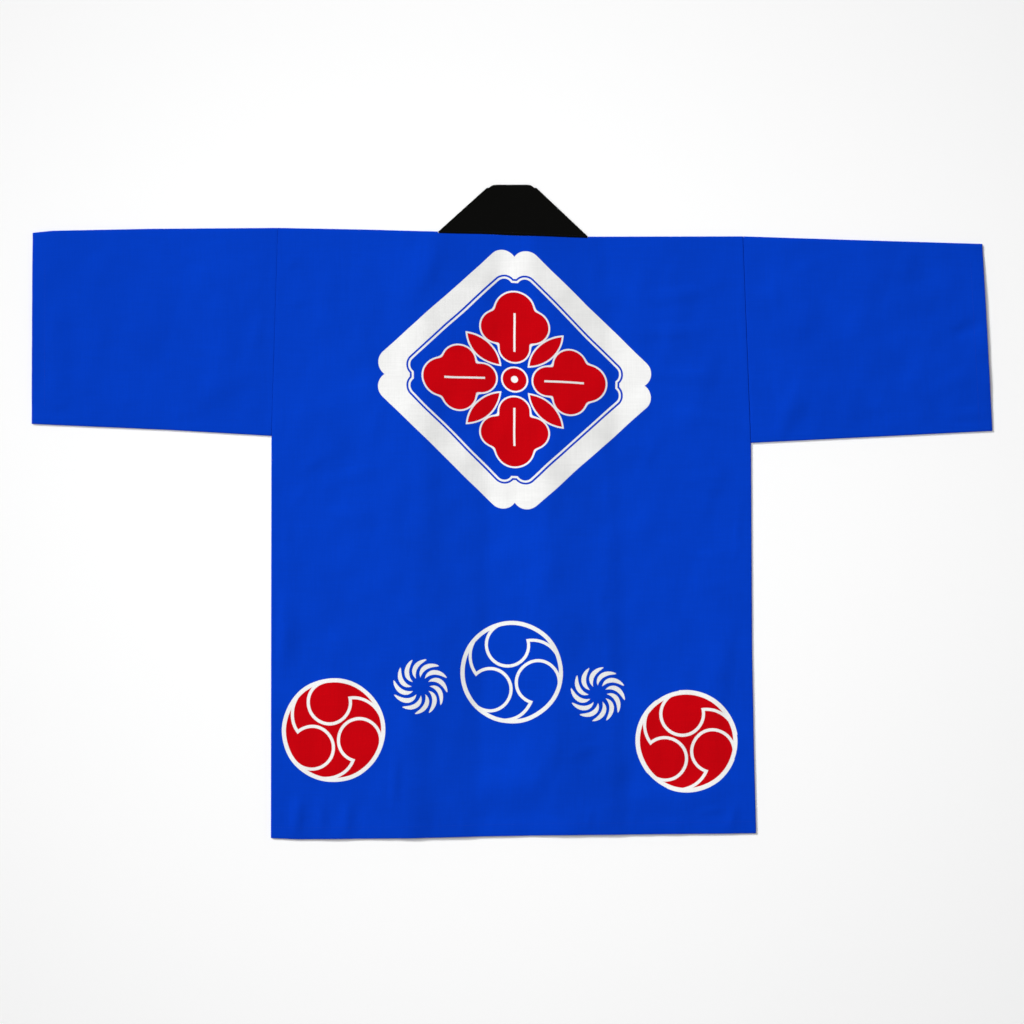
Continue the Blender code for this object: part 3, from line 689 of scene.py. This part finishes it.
def add_node(tree, kind, inputs=None, out=0, **settings):
    """Adds a node with its settings. Its inputs are sockets to link or plain values."""
    node = tree.nodes.new(kind)
    for name, value in settings.items():
        setattr(node, name, value)
    for place, given in (inputs or {}).items():
        if isinstance(given, bpy.types.NodeSocket):
            tree.links.new(given, node.inputs[place])
        else:
            node.inputs[place].default_value = given
    return node.outputs[out] if node.outputs else node


VECTOR_WORK = ("DISTANCE", "LENGTH", "DOT_PRODUCT")


def value_of(tree, known, item):
    """A name's known value, what an operation on further items gives, or the item as it is."""
    if isinstance(item, str):
        return known[item]
    if not (isinstance(item, tuple) and isinstance(item[0], str)):
        return item
    operation, *given = item
    kind = "ShaderNodeVectorMath" if operation in VECTOR_WORK else "ShaderNodeMath"
    inputs = dict(enumerate(value_of(tree, known, part) for part in given))
    return add_node(tree, kind, inputs, "Value", operation=operation)


def work_out(tree, known, steps):
    """Works out named values in turn. A step is a name, an operation and the items it works on."""
    for name, *work in steps:
        known[name] = value_of(tree, known, tuple(work))


def spanned(value, span):
    """The inputs of a node that maps one span of values, low and high, onto another."""
    return dict(zip(("Value", "From Min", "From Max", "To Min", "To Max"), (value, *span)))


# The prints, in millimetres. Their places are centres on the back, from left to right. A roundel's
# red ground is shown or hidden by its last value.
Roundel = namedtuple("Roundel", "x y radius hold_back")
SHOWN = -1000.0
HIDDEN = 1000.0
ROUNDELS = (
    Roundel(-222.9, -272.4, 64.7, SHOWN),
    Roundel(-0.5, -199.9, 64.1, HIDDEN),
    Roundel(218.1, -286.1, 63.3, SHOWN),
)
ROUNDEL_RING = 5.1
COMMA_HEADS = (99.0, 219.0, 339.0)
COMMA_HEAD_AT = 34.8
COMMA_HEAD_RADIUS = 26.6
COMMA_TAIL_TURN = 92.0
COMMA_TAIL_AT = 25.25
COMMA_TAIL_INNER = 36.9
COMMA_TAIL_OUTER = 61.9
COMMA_LINE = 3.8

Swirl = namedtuple("Swirl", "x y")
SWIRLS = (Swirl(-114.1, -217.8), Swirl(107.1, -227.5))
SWIRL_BLADES = 12
SWIRL_INNER = 11.25
SWIRL_OUTER = 34.4
SWIRL_PHASE = 18.6
SWIRL_BEND = 42.0
SWIRL_BEND_POWER = 1.75
SWIRL_BLADE_HALF = 2.9
SWIRL_TIP_POWER = 0.7

# The diamond frame's corner lobes: the two in one quarter of it and their radius. Between them its
# side is filled, up to a notch at each of the diamond's corners.
Lobes = namedtuple("Lobes", "high_x high_y wide_x wide_y radius side notch_high notch_wide")
FRAME_X = 3.1
FRAME_Y = 165.2
FRAME_SHEAR = 0.047
FRAME_OUTER = Lobes(15.0, 143.1, 152.1, 15.0, 18.1, 106.2, 153.0, 162.0)
FRAME_INNER = Lobes(13.1, 114.8, 119.9, 13.1, 15.4, 97.0, 125.2, 130.8)
FRAME_SIDE = (0.685, 0.728)
FRAME_LINE_AT = 3.7
FRAME_LINE = 2.5

# The flower that fills the frame: discs of a half petal, a leaf between petals, a vein and an eye
Disc = namedtuple("Disc", "x y radius")
PETAL_TIP = Disc(90.0, 0.0, 26.0)
PETAL_LOBE = Disc(69.0, 22.0, 22.3)
PETAL_FOOT = Disc(42.0, 0.0, 21.0)
PETAL_BLEND = 9.0
LEAF_ARC = Disc(55.0, -35.5, 47.5)
FLOWER_EYE = Disc(0.0, 0.0, 17.0)
FLOWER_DOT = 4.4
FLOWER_OUTLINE = 2.1
FLOWER_SQUASH = 1.05
VEIN_AT = 62.0
VEIN_HALF_LENGTH = 25.0
VEIN_HALF_WIDTH = 1.3
INK_EDGE = 0.4


def nearest(tree, known, prints):
    """The values of the nearest of some prints, and where a point lies from its centre."""
    names = ("centre_x", "centre_y", "radius", "hold_back")
    known.update(zip(names, prints[0]))
    for before, after in zip(prints, prints[1:]):
        work_out(tree, known, [("is_after", "GREATER_THAN", "x", (before.x + after.x) / 2)])
        for name, start, end in zip(names, before, after):
            work_out(tree, known, [(name, "MULTIPLY_ADD", "is_after", end - start, name)])
    work_out(tree, known, [
        ("across", "SUBTRACT", "x", "centre_x"),
        ("upward", "SUBTRACT", "y", "centre_y"),
    ])
    known["point"] = add_node(tree, "ShaderNodeCombineXYZ", {0: known["across"], 1: known["upward"]})
    work_out(tree, known, [("far", "LENGTH", "point")])


def at_angle(degrees, distance=1.0):
    angle = math.radians(degrees)
    return (distance * math.cos(angle), distance * math.sin(angle), 0.0)


def draw_roundels(tree, known):
    """Three commas turning in a ring. The outer two roundels are red between them."""
    nearest(tree, known, ROUNDELS)
    work_out(tree, known, [
        ("to_ring", "ADD", ("SUBTRACT", "far", "radius"), ROUNDEL_RING / 2),
        ("roundel_red", "MAXIMUM", "to_ring", "hold_back"),
        ("roundel_white", "SUBTRACT", ("ABSOLUTE", "to_ring"), ROUNDEL_RING / 2),
        ("tail_outside", "SUBTRACT", "far", COMMA_TAIL_OUTER),
    ])
    for head in COMMA_HEADS:
        tail = head - COMMA_TAIL_TURN
        head_centre = at_angle(head, COMMA_HEAD_AT)
        tail_centre = at_angle(tail, COMMA_TAIL_AT)
        work_out(tree, known, [
            ("head", "SUBTRACT", ("DISTANCE", "point", head_centre), COMMA_HEAD_RADIUS),
            ("tail_inside", "SUBTRACT", COMMA_TAIL_INNER, ("DISTANCE", "point", tail_centre)),
            ("past_head", "DOT_PRODUCT", "point", at_angle(head + 90.0)),
            ("past_tip", "DOT_PRODUCT", "point", at_angle(tail - 90.0)),
            ("comma", "MINIMUM", "head", ("MAXIMUM", "tail_inside", "tail_outside")),
            ("comma_line", "SUBTRACT", ("ABSOLUTE", "comma"), COMMA_LINE / 2),
            ("tail_white", "MAXIMUM", "comma_line", ("MAXIMUM", "past_head", "past_tip")),
            ("head_line", "SUBTRACT", ("ABSOLUTE", "head"), COMMA_LINE / 2),
            ("head_white", "MAXIMUM", "head_line", ("MULTIPLY", "past_head", -1.0)),
            ("comma_white", "MINIMUM", "tail_white", "head_white"),
            ("roundel_white", "MINIMUM", "roundel_white", "comma_white"),
        ])


def draw_swirls(tree, known):
    """Twelve bent blades round a plain middle."""
    span = SWIRL_OUTER - SWIRL_INNER
    bend = math.radians(SWIRL_BEND)
    half_step = math.pi / SWIRL_BLADES
    widest_at = 1.0 / (1.0 + SWIRL_TIP_POWER)
    widest = widest_at * (1.0 - widest_at) ** SWIRL_TIP_POWER
    nearest(tree, known, SWIRLS)
    work_out(tree, known, [
        ("from_inner", "SUBTRACT", "far", SWIRL_INNER),
        ("outside", "MAXIMUM", ("MULTIPLY", "from_inner", -1.0), ("SUBTRACT", "far", SWIRL_OUTER)),
        ("share", "MINIMUM", ("MAXIMUM", ("DIVIDE", "from_inner", span), 0.0), 1.0),
        ("bent", "POWER", "share", SWIRL_BEND_POWER),
        ("turn", "MULTIPLY_ADD", "bent", -bend, bend + math.radians(SWIRL_PHASE)),
        ("off_blade", "SUBTRACT", ("ARCTAN2", "upward", "across"), "turn"),
        ("off_middle", "ABSOLUTE", ("WRAP", "off_blade", half_step, -half_step)),
        ("slope_far", "MULTIPLY", ("POWER", "share", SWIRL_BEND_POWER - 1.0), "far"),
        ("slope", "MULTIPLY", "slope_far", bend * SWIRL_BEND_POWER / span),
        ("lean", "SQRT", ("MULTIPLY_ADD", "slope", "slope", 1.0)),
        ("leaned", "DIVIDE", ("MULTIPLY", "off_middle", "far"), "lean"),
        ("tip", "POWER", ("SUBTRACT", 1.0, "share"), SWIRL_TIP_POWER),
        ("half", "MULTIPLY", ("MULTIPLY", "share", "tip"), SWIRL_BLADE_HALF / widest),
        ("blade", "SUBTRACT", "leaned", "half"),
        ("swirl_white", "ADD", "blade", ("MAXIMUM", "outside", 0.0)),
    ])


def draw_lobes(tree, known, name, lobes):
    """Distance to a diamond's edge: a round bar between a quarter's lobes, its middle filled."""
    run_x = lobes.wide_x - lobes.high_x
    run_y = lobes.wide_y - lobes.high_y
    square = run_x ** 2 + run_y ** 2
    work_out(tree, known, [
        ("from_x", "SUBTRACT", "wide", lobes.high_x),
        ("from_y", "SUBTRACT", "tall", lobes.high_y),
        ("along", "MULTIPLY_ADD", "from_y", run_y / square, ("MULTIPLY", "from_x", run_x / square)),
        ("kept_along", "MINIMUM", ("MAXIMUM", "along", 0.0), 1.0),
        ("off_x", "MULTIPLY_ADD", "kept_along", -run_x, "from_x"),
        ("off_y", "MULTIPLY_ADD", "kept_along", -run_y, "from_y"),
        ("off_bar", "SQRT", ("MULTIPLY_ADD", "off_x", "off_x", ("MULTIPLY", "off_y", "off_y"))),
        ("bar", "SUBTRACT", "off_bar", lobes.radius),
        ("side_part", "MULTIPLY_ADD", "wide", FRAME_SIDE[0], -lobes.side),
        ("side", "MULTIPLY_ADD", "tall", FRAME_SIDE[1], "side_part"),
        ("above_notch", "SUBTRACT", "tall", lobes.notch_high),
        ("beside_notch", "SUBTRACT", "wide", lobes.notch_wide),
        ("fill", "MAXIMUM", "side", ("MAXIMUM", "above_notch", "beside_notch")),
        (name, "MINIMUM", "bar", "fill"),
    ])


def draw_flower_diamond(tree, known):
    """A white frame with lobed corners, a line inside it and a flower of four petals and leaves."""
    work_out(tree, known, [
        ("across", "SUBTRACT", "x", FRAME_X),
        ("upward", "SUBTRACT", "y", FRAME_Y),
        ("wide", "ABSOLUTE", "across"),
        ("tall", "ABSOLUTE", ("MULTIPLY_ADD", "across", FRAME_SHEAR, "upward")),
    ])
    for name, lobes in (("frame_outer", FRAME_OUTER), ("frame_inner", FRAME_INNER)):
        draw_lobes(tree, known, name, lobes)
    half = math.sqrt(0.5)
    work_out(tree, known, [
        ("frame_white", "MAXIMUM", "frame_outer", ("MULTIPLY", "frame_inner", -1.0)),
        ("off_line", "ABSOLUTE", ("ADD", "frame_inner", FRAME_LINE_AT)),
        ("line_white", "SUBTRACT", "off_line", FRAME_LINE / 2),
        ("stretched", "MULTIPLY", "tall", FLOWER_SQUASH),
        ("long", "MAXIMUM", "wide", "stretched"),
        ("short", "MINIMUM", "wide", "stretched"),
        ("long_part", "MULTIPLY", "long", half),
        ("leaf_along", "MULTIPLY_ADD", "short", half, "long_part"),
        ("leaf_across", "MULTIPLY_ADD", "short", -half, "long_part"),
    ])
    places = (("point", "long", "short"), ("leaf_point", "leaf_along", "leaf_across"))
    for name, first, second in places:
        known[name] = add_node(tree, "ShaderNodeCombineXYZ", {0: known[first], 1: known[second]})
    discs = (("tip", "point", PETAL_TIP), ("lobe", "point", PETAL_LOBE), ("foot", "point", PETAL_FOOT),
             ("leaf", "leaf_point", LEAF_ARC), ("eye", "point", FLOWER_EYE))
    for name, place, disc in discs:
        from_centre = ("DISTANCE", place, (disc.x, disc.y, 0.0))
        work_out(tree, known, [(name, "SUBTRACT", from_centre, disc.radius)])
    work_out(tree, known, [
        ("petal", "SMOOTH_MIN", ("SMOOTH_MIN", "tip", "lobe", PETAL_BLEND), "foot", PETAL_BLEND),
        ("flower", "MINIMUM", ("MINIMUM", "petal", "leaf"), "eye"),
        ("flower_red", "ADD", "flower", FLOWER_OUTLINE),
        ("outline_white", "MAXIMUM", "flower", ("MULTIPLY", "flower_red", -1.0)),
        ("vein_off", "ABSOLUTE", ("SUBTRACT", "long", VEIN_AT)),
        ("vein_end", "SUBTRACT", "vein_off", VEIN_HALF_LENGTH),
        ("vein_white", "MAXIMUM", "vein_end", ("SUBTRACT", "short", VEIN_HALF_WIDTH)),
        ("dot_white", "ADD", "eye", FLOWER_EYE.radius - FLOWER_DOT),
        ("white_lines", "MINIMUM", "frame_white", "line_white"),
        ("white_flower", "MINIMUM", "outline_white", "vein_white"),
        ("diamond_white", "MINIMUM", ("MINIMUM", "white_lines", "white_flower"), "dot_white"),
    ])


def new_material(name):
    material = bpy.data.materials.new(name)
    material.use_nodes = True
    material.node_tree.nodes.clear()
    return material, material.node_tree


# Cotton sheeting. Its real threads are 0.35 mm apart, and are drawn at 1 mm to show close to.
THREAD_SPACING = 1.0
SLUB_LENGTH = 34.0
SLUB_WIDTH = 1.6
CLOUD_SIZE = 90.0
CRUMPLE_SIZE = 9.0
THREAD_BUMP = 0.03
CRUMPLE_BUMP = 0.34
COTTON_ROUGHNESS = 0.9
COTTON_SPECULAR = 0.02
COTTON_SHEEN = 0.01
WEAVE_SHARE = 0.35

# Spans of a noise, and of how light or dark it makes the dye
CLOUD_LIGHT = (0.3, 0.7, 0.955, 1.035)
THREAD_LIGHT = (0.7, 1.3, 0.965, 1.035)


def x_and_y(tree, place):
    """The two named values that a drawing starts from."""
    return {axis.lower(): add_node(tree, "ShaderNodeSeparateXYZ", {0: place}, axis) for axis in "XY"}


def weave(tree, place):
    """Height of a plain weave with its thicker threads, and how thick the threads are there."""
    known = x_and_y(tree, place)
    for name, long_way in (("slubs_along", 0), ("slubs_up", 1)):
        size = [1.0 / (SLUB_WIDTH * MM)] * 3
        size[long_way] = 1.0 / (SLUB_LENGTH * MM)
        stretched = add_node(tree, "ShaderNodeMapping", {"Vector": place, "Scale": size})
        noise = {"Vector": stretched, "Scale": 1.0, "Detail": 2.0}
        known[name] = add_node(tree, "ShaderNodeTexNoise", noise)
    turn = math.pi / (THREAD_SPACING * MM)
    work_out(tree, known, [
        ("wave_x", "SINE", ("MULTIPLY", "x", turn)),
        ("wave_y", "SINE", ("MULTIPLY", "y", turn)),
        ("thick", "ADD", "slubs_along", "slubs_up"),
        ("height", "MULTIPLY_ADD", ("MULTIPLY", "wave_x", "wave_y"), WEAVE_SHARE, "thick"),
    ])
    return known["height"], known["thick"]


def cotton(name, colour):
    """Matt cotton sheeting, uneven in its threads and its dye.

    Its colour is worked out by a function that is given the tree and the place.
    """
    material, tree = new_material(name)
    place = add_node(tree, "ShaderNodeTexCoord", out="Object")
    height, thick = weave(tree, place)
    clouds = add_node(tree, "ShaderNodeTexNoise", {
        "Vector": place, "Scale": 1.0 / (CLOUD_SIZE * MM), "Detail": 3.0})
    crumple = add_node(tree, "ShaderNodeTexNoise", {
        "Vector": place, "Scale": 1.0 / (CRUMPLE_SIZE * MM), "Detail": 4.0, "Roughness": 0.55})
    cloud_light = add_node(tree, "ShaderNodeMapRange", spanned(clouds, CLOUD_LIGHT))
    thread_light = add_node(tree, "ShaderNodeMapRange", spanned(thick, THREAD_LIGHT))
    light = value_of(tree, {}, ("MULTIPLY", cloud_light, thread_light))
    base = colour(tree, place)
    lit = add_node(tree, "ShaderNodeVectorMath", {0: base, "Scale": light}, operation="SCALE")
    crumple_bump = add_node(tree, "ShaderNodeBump", {
        "Height": crumple, "Strength": 0.6, "Distance": CRUMPLE_BUMP * MM})
    bump = add_node(tree, "ShaderNodeBump", {
        "Height": height, "Strength": 0.7, "Distance": THREAD_BUMP * MM, "Normal": crumple_bump})
    surface = add_node(tree, "ShaderNodeBsdfPrincipled", {
        "Base Color": lit, "Roughness": COTTON_ROUGHNESS, "Specular IOR Level": COTTON_SPECULAR,
        "Sheen Weight": COTTON_SHEEN, "Normal": bump})
    add_node(tree, "ShaderNodeOutputMaterial", {"Surface": surface})
    return material


def dyed(hex_colour):
    """One colour all over."""
    return lambda tree, place: linear(hex_colour)[:3]


# Painted show-through light and shade: the thin cloth's colour is painted darker over the black collar
# and lighter over the opening between the fronts, where light passes through it. Bare white cotton
# shows it more than dyed cotton. The cloths touch unevenly, so it comes and goes.
BLUE_PAINTED_SHADES = (-0.042, 0.03)
WHITE_PAINTED_SHADES = (-0.12, 0.04)
SHADE_RAMP = 30.0
SHADE_PATCH = 60.0
CONTACT = (0.3, 0.7, 0.5, 1.4)
PRINT_DRIFT = 3.0
PRINT_DRIFT_SIZE = 70.0


def paint_show_through_shade(tree, place, base, shades):
    """A colour with painted show-through shade, darker or lighter by what lies under the back."""
    patches = add_node(tree, "ShaderNodeTexNoise", {
        "Vector": place, "Scale": 1.0 / (SHADE_PATCH * MM), "Detail": 2.0})
    contact = add_node(tree, "ShaderNodeMapRange", spanned(patches, CONTACT))
    light = 1.0
    for name, shade in zip(("over_collar", "over_opening"), shades):
        there = add_node(tree, "ShaderNodeAttribute", out="Fac", attribute_name=name)
        light = value_of(tree, {}, ("MULTIPLY_ADD", ("MULTIPLY", there, contact), shade, light))
    return add_node(tree, "ShaderNodeVectorMath", {0: base, "Scale": light}, operation="SCALE")


def printed(tree, place):
    """The dyed back with its prints. White is bare cotton and red is ink, each with a soft edge.

    The prints drift a little from their true places, as where cloth was stretched while printed.
    """
    noise = {"Vector": place, "Scale": 1.0 / (PRINT_DRIFT_SIZE * MM), "Detail": 1.0}
    drift = add_node(tree, "ShaderNodeTexNoise", noise, "Color")
    shift = {0: drift, 1: (PRINT_DRIFT,) * 3, 2: (-PRINT_DRIFT / 2,) * 3}
    away = add_node(tree, "ShaderNodeVectorMath", shift, operation="MULTIPLY_ADD")
    millimetres = {0: place, 1: (1.0 / MM,) * 3, 2: away}
    drifted = add_node(tree, "ShaderNodeVectorMath", millimetres, operation="MULTIPLY_ADD")
    known = x_and_y(tree, drifted)
    for draw in (draw_roundels, draw_swirls, draw_flower_diamond):
        draw(tree, known)
    work_out(tree, known, [
        ("white", "MINIMUM", ("MINIMUM", "roundel_white", "swirl_white"), "diamond_white"),
        ("red", "MINIMUM", "roundel_red", "flower_red"),
    ])
    # The blue and the bare white both carry painted show-through shade over the collar and the opening
    shown = paint_show_through_shade(tree, place, linear(BLUE)[:3], BLUE_PAINTED_SHADES)
    bare = paint_show_through_shade(tree, place, linear(WHITE)[:3], WHITE_PAINTED_SHADES)
    for name, ink in (("red", linear(RED)), ("white", bare)):
        soft_edge = spanned(known[name], (INK_EDGE, -INK_EDGE, 0.0, 1.0))
        cover = add_node(tree, "ShaderNodeMapRange", soft_edge, interpolation_type="SMOOTHSTEP")
        shown = add_node(tree, "ShaderNodeMix", {0: cover, 6: shown, 7: ink}, 2, data_type="RGBA")
    return shown


def sewing_thread(name, hex_colour):
    """Spun polyester thread, a little smoother than the cloth round it."""
    material, tree = new_material(name)
    surface = add_node(tree, "ShaderNodeBsdfPrincipled", {
        "Base Color": linear(hex_colour), "Roughness": 0.6, "Specular IOR Level": 0.2,
        "Sheen Weight": 0.1})
    add_node(tree, "ShaderNodeOutputMaterial", {"Surface": surface})
    return material


def white_paper():
    """The plain pale floor, matt paper."""
    material, tree = new_material("white_paper")
    surface = add_node(tree, "ShaderNodeBsdfPrincipled", {
        "Base Color": linear(PAPER), "Roughness": 0.95, "Specular IOR Level": 0.1})
    add_node(tree, "ShaderNodeOutputMaterial", {"Surface": surface})
    return material


def stitch_tree():
    """Geometry nodes that lay a row of stitches along lines."""
    tree = bpy.data.node_groups.new("stitches_along_lines", "GeometryNodeTree")
    sockets = (("Lines", "INPUT", "NodeSocketGeometry"), ("Pitch", "INPUT", "NodeSocketFloat"),
               ("Length", "INPUT", "NodeSocketFloat"), ("Width", "INPUT", "NodeSocketFloat"),
               ("Thread", "INPUT", "NodeSocketMaterial"), ("Stitches", "OUTPUT", "NodeSocketGeometry"))
    for name, way, kind in sockets:
        tree.interface.new_socket(name=name, in_out=way, socket_type=kind)
    given = tree.nodes.new("NodeGroupInput").outputs
    curve = add_node(tree, "GeometryNodeMeshToCurve", {0: given["Lines"]})
    spacing = {"Curve": curve, "Length": given["Pitch"]}
    spaced = add_node(tree, "GeometryNodeResampleCurve", spacing, mode="LENGTH")
    tangent = add_node(tree, "GeometryNodeInputTangent")
    turned = add_node(tree, "FunctionNodeAlignRotationToVector", {"Vector": tangent}, axis="X")
    sizes = {"Min": STITCH_LEAST, "Max": STITCH_MOST, "Seed": STITCH_SEED}
    uneven = add_node(tree, "FunctionNodeRandomValue", sizes, data_type="FLOAT_VECTOR")
    thickness = given["Width"]
    size = add_node(tree, "ShaderNodeCombineXYZ", {0: given["Length"], 1: thickness, 2: thickness})
    scale = add_node(tree, "ShaderNodeVectorMath", {0: size, 1: uneven}, operation="MULTIPLY")
    stitch = add_node(tree, "GeometryNodeMeshUVSphere", {
        "Segments": STITCH_SEGMENTS, "Rings": STITCH_RINGS, "Radius": 0.5})
    placed = add_node(tree, "GeometryNodeInstanceOnPoints", {
        "Points": spaced, "Instance": stitch, "Rotation": turned, "Scale": scale})
    real = add_node(tree, "GeometryNodeRealizeInstances", {0: placed})
    shaded = add_node(tree, "GeometryNodeSetMaterial", {"Geometry": real, "Material": given["Thread"]})
    smooth = add_node(tree, "GeometryNodeSetShadeSmooth", {0: shaded})
    tree.links.new(smooth, tree.nodes.new("NodeGroupOutput").inputs[0])
    return tree


def sew_lines(name, tree, lines, material):
    """Stitches along lines of points, turned into a plain mesh."""
    places = [tuple(point * MM) for line in lines for point in line]
    lasts = np.cumsum([len(line) for line in lines]) - 1
    joins = [(place, place + 1) for place in range(len(places)) if place not in lasts]
    mesh = bpy.data.meshes.new(name)
    mesh.from_pydata(places, joins, [])
    guide = new_object(name + "_lines", mesh)
    nodes = guide.modifiers.new("stitches", "NODES")
    nodes.node_group = tree
    values = {"Pitch": STITCH_PITCH * MM, "Length": STITCH_LENGTH * MM, "Width": STITCH_WIDTH * MM,
              "Thread": material}
    for item in tree.interface.items_tree:
        if item.name in values:
            nodes[item.identifier] = values[item.name]
    graph = bpy.context.evaluated_depsgraph_get()
    sewn = bpy.data.meshes.new_from_object(guide.evaluated_get(graph))
    guide.modifiers.remove(nodes)
    bpy.data.objects.remove(guide)
    sewn.name = name
    return new_object(name, sewn)


def line_steps(start, end):
    return np.linspace(start, end, max(2, int(abs(end - start) / STITCH_LINE_STEP)))


def hem_line(ends, rise, height):
    x = line_steps(*ends)
    y = read_edge(HEM, x) + rise
    return points(x, y, height(x, y))


def cuff_lines(sleeve):
    y = line_steps(sleeve.underarm[0].y + CUFF_STITCH_END, TOP_EDGE[-1].y - CUFF_STITCH_END)
    x = read_edge(sleeve.cuff, y, "y") - sleeve.hand * HEM_DEPTH
    return [points(x, y, sleeve_face(sleeve, x, y) + STITCH_DEPTH), points(x, y, STITCH_DEPTH)]


def collar_lines():
    seam_line, free_line, facing = collar_line()
    across = unit(free_line - seam_line)
    line = seam_line + across * COLLAR_STITCH_INSET + facing * (SOLID_COLLAR / 2 + STITCH_DEPTH)
    middle = len(line) // 2
    under, over = facing[:, 2] < -FLAT_FACING, facing[:, 2] > FLAT_FACING
    return [line[:middle][under[:middle]], line[over], line[middle:][under[middle:]]]


# The photograph's width on the floor in metres, and a lens and its sensor in millimetres
PHOTO_WIDTH = 1.28
LENS = 85.0
SENSOR = 36.0


def set_camera():
    """Straight above, as in the photograph."""
    camera = bpy.data.cameras.new("camera")
    camera.sensor_width = SENSOR
    camera.lens = LENS
    holder = new_object("camera", camera)
    holder.location = (0.0, 0.0, PHOTO_WIDTH * LENS / SENSOR)
    bpy.context.scene.camera = holder


# The sky is lighter near the horizon, up to its reach. Lamps stand in metres from the coat's middle.
SKY_TOP = 0.13
SKY_HORIZON = 0.85
SKY_HORIZON_REACH = 0.3
KEY_PLACE = (-1.3, 1.1, 1.05)
KEY_STRENGTH = 3.03
KEY_ANGLE = 12.0
TOP_PLACE = (-0.14, 0.12, 1.5)
TOP_SIZE = 1.2
TOP_POWER = 11.2


def set_light():
    """A key light from the upper left, a soft light above the coat's middle and a white sky."""
    key = bpy.data.lights.new("key", "SUN")
    key.energy = KEY_STRENGTH
    key.angle = math.radians(KEY_ANGLE)
    top = bpy.data.lights.new("top", "AREA")
    top.energy = TOP_POWER
    top.size = TOP_SIZE
    for lamp, place in ((key, KEY_PLACE), (top, TOP_PLACE)):
        holder = new_object(lamp.name, lamp)
        holder.location = place
        holder.rotation_euler = (-holder.location).to_track_quat("-Z", "Y").to_euler()
        holder.visible_camera = False
    world = bpy.data.worlds.new("studio")
    world.use_nodes = True
    tree = world.node_tree
    tree.nodes.clear()
    way = add_node(tree, "ShaderNodeTexCoord", out="Generated")
    height = add_node(tree, "ShaderNodeSeparateXYZ", {0: way}, "Z")
    span = (0.0, SKY_HORIZON_REACH, SKY_HORIZON, SKY_TOP)
    strength = add_node(tree, "ShaderNodeMapRange", spanned(height, span))
    sky = add_node(tree, "ShaderNodeBackground", {"Color": (1.0, 1.0, 1.0, 1.0), "Strength": strength})
    add_node(tree, "ShaderNodeOutputWorld", {"Surface": sky})
    bpy.context.scene.world = world
    bpy.context.scene.view_settings.view_transform = "Standard"


FLOOR_SIZE = 60000.0
FLOOR_DEPTH = 0.25


def lay_floor():
    half = FLOOR_SIZE / 2 * MM
    mesh = bpy.data.meshes.new("floor")
    corners = [(-half, -half), (half, -half), (half, half), (-half, half)]
    mesh.from_pydata([(x, y, -FLOOR_DEPTH * MM) for x, y in corners], [], [(0, 1, 2, 3)])
    mesh.materials.append(white_paper())
    new_object("floor", mesh)


def hand_over(piece, node, stitches):
    """Fixes a piece of cloth and its stitches to the coat's one body, in place of its solid."""
    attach(piece, "root")
    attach(stitches, "root")
    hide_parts(node)


def main():
    set_camera()
    set_light()
    lay_floor()
    blue_cotton = cotton("blue_cotton_sheeting", dyed(BLUE))
    printed_cotton = cotton("printed_cotton_sheeting", printed)
    black_cotton = cotton("black_cotton_band", dyed(BLACK))
    blue_thread = sewing_thread("blue_sewing_thread", BLUE)
    black_thread = sewing_thread("black_sewing_thread", BLACK)
    tree = stitch_tree()

    back = make_back(printed_cotton, blue_cotton)
    ends = (HEM[0].x + HEM_STITCH_END, HEM[-1].x - HEM_STITCH_END)
    rise = HEM_DEPTH - HEM_STITCH_INSET
    lines = [hem_line(ends, rise, lambda x, y: back_face(x, y) + STITCH_DEPTH)]
    stitches = sew_lines("back_hem_stitches", tree, lines, blue_thread)
    hand_over(back, "back", stitches)

    collar = make_collar(black_cotton)
    stitches = sew_lines("collar_stitches", tree, collar_lines(), black_thread)
    hand_over(collar, "collar", stitches)

    for front in FRONTS:
        piece = make_front(front, blue_cotton)
        inset = front.hand * HEM_STITCH_END
        ends = sorted((front.side[0].x - inset, front.seam[0].x + inset))
        lines = [hem_line(ends, FRONT_HEM_RISE + rise, lambda x, y: STITCH_DEPTH)]
        stitches = sew_lines(front.node + "_stitches", tree, lines, blue_thread)
        hand_over(piece, front.node, stitches)
    for sleeve in SLEEVES:
        piece = make_sleeve(sleeve, blue_cotton)
        stitches = sew_lines(sleeve.node + "_stitches", tree, cuff_lines(sleeve), blue_thread)
        hand_over(piece, sleeve.node, stitches)


main()
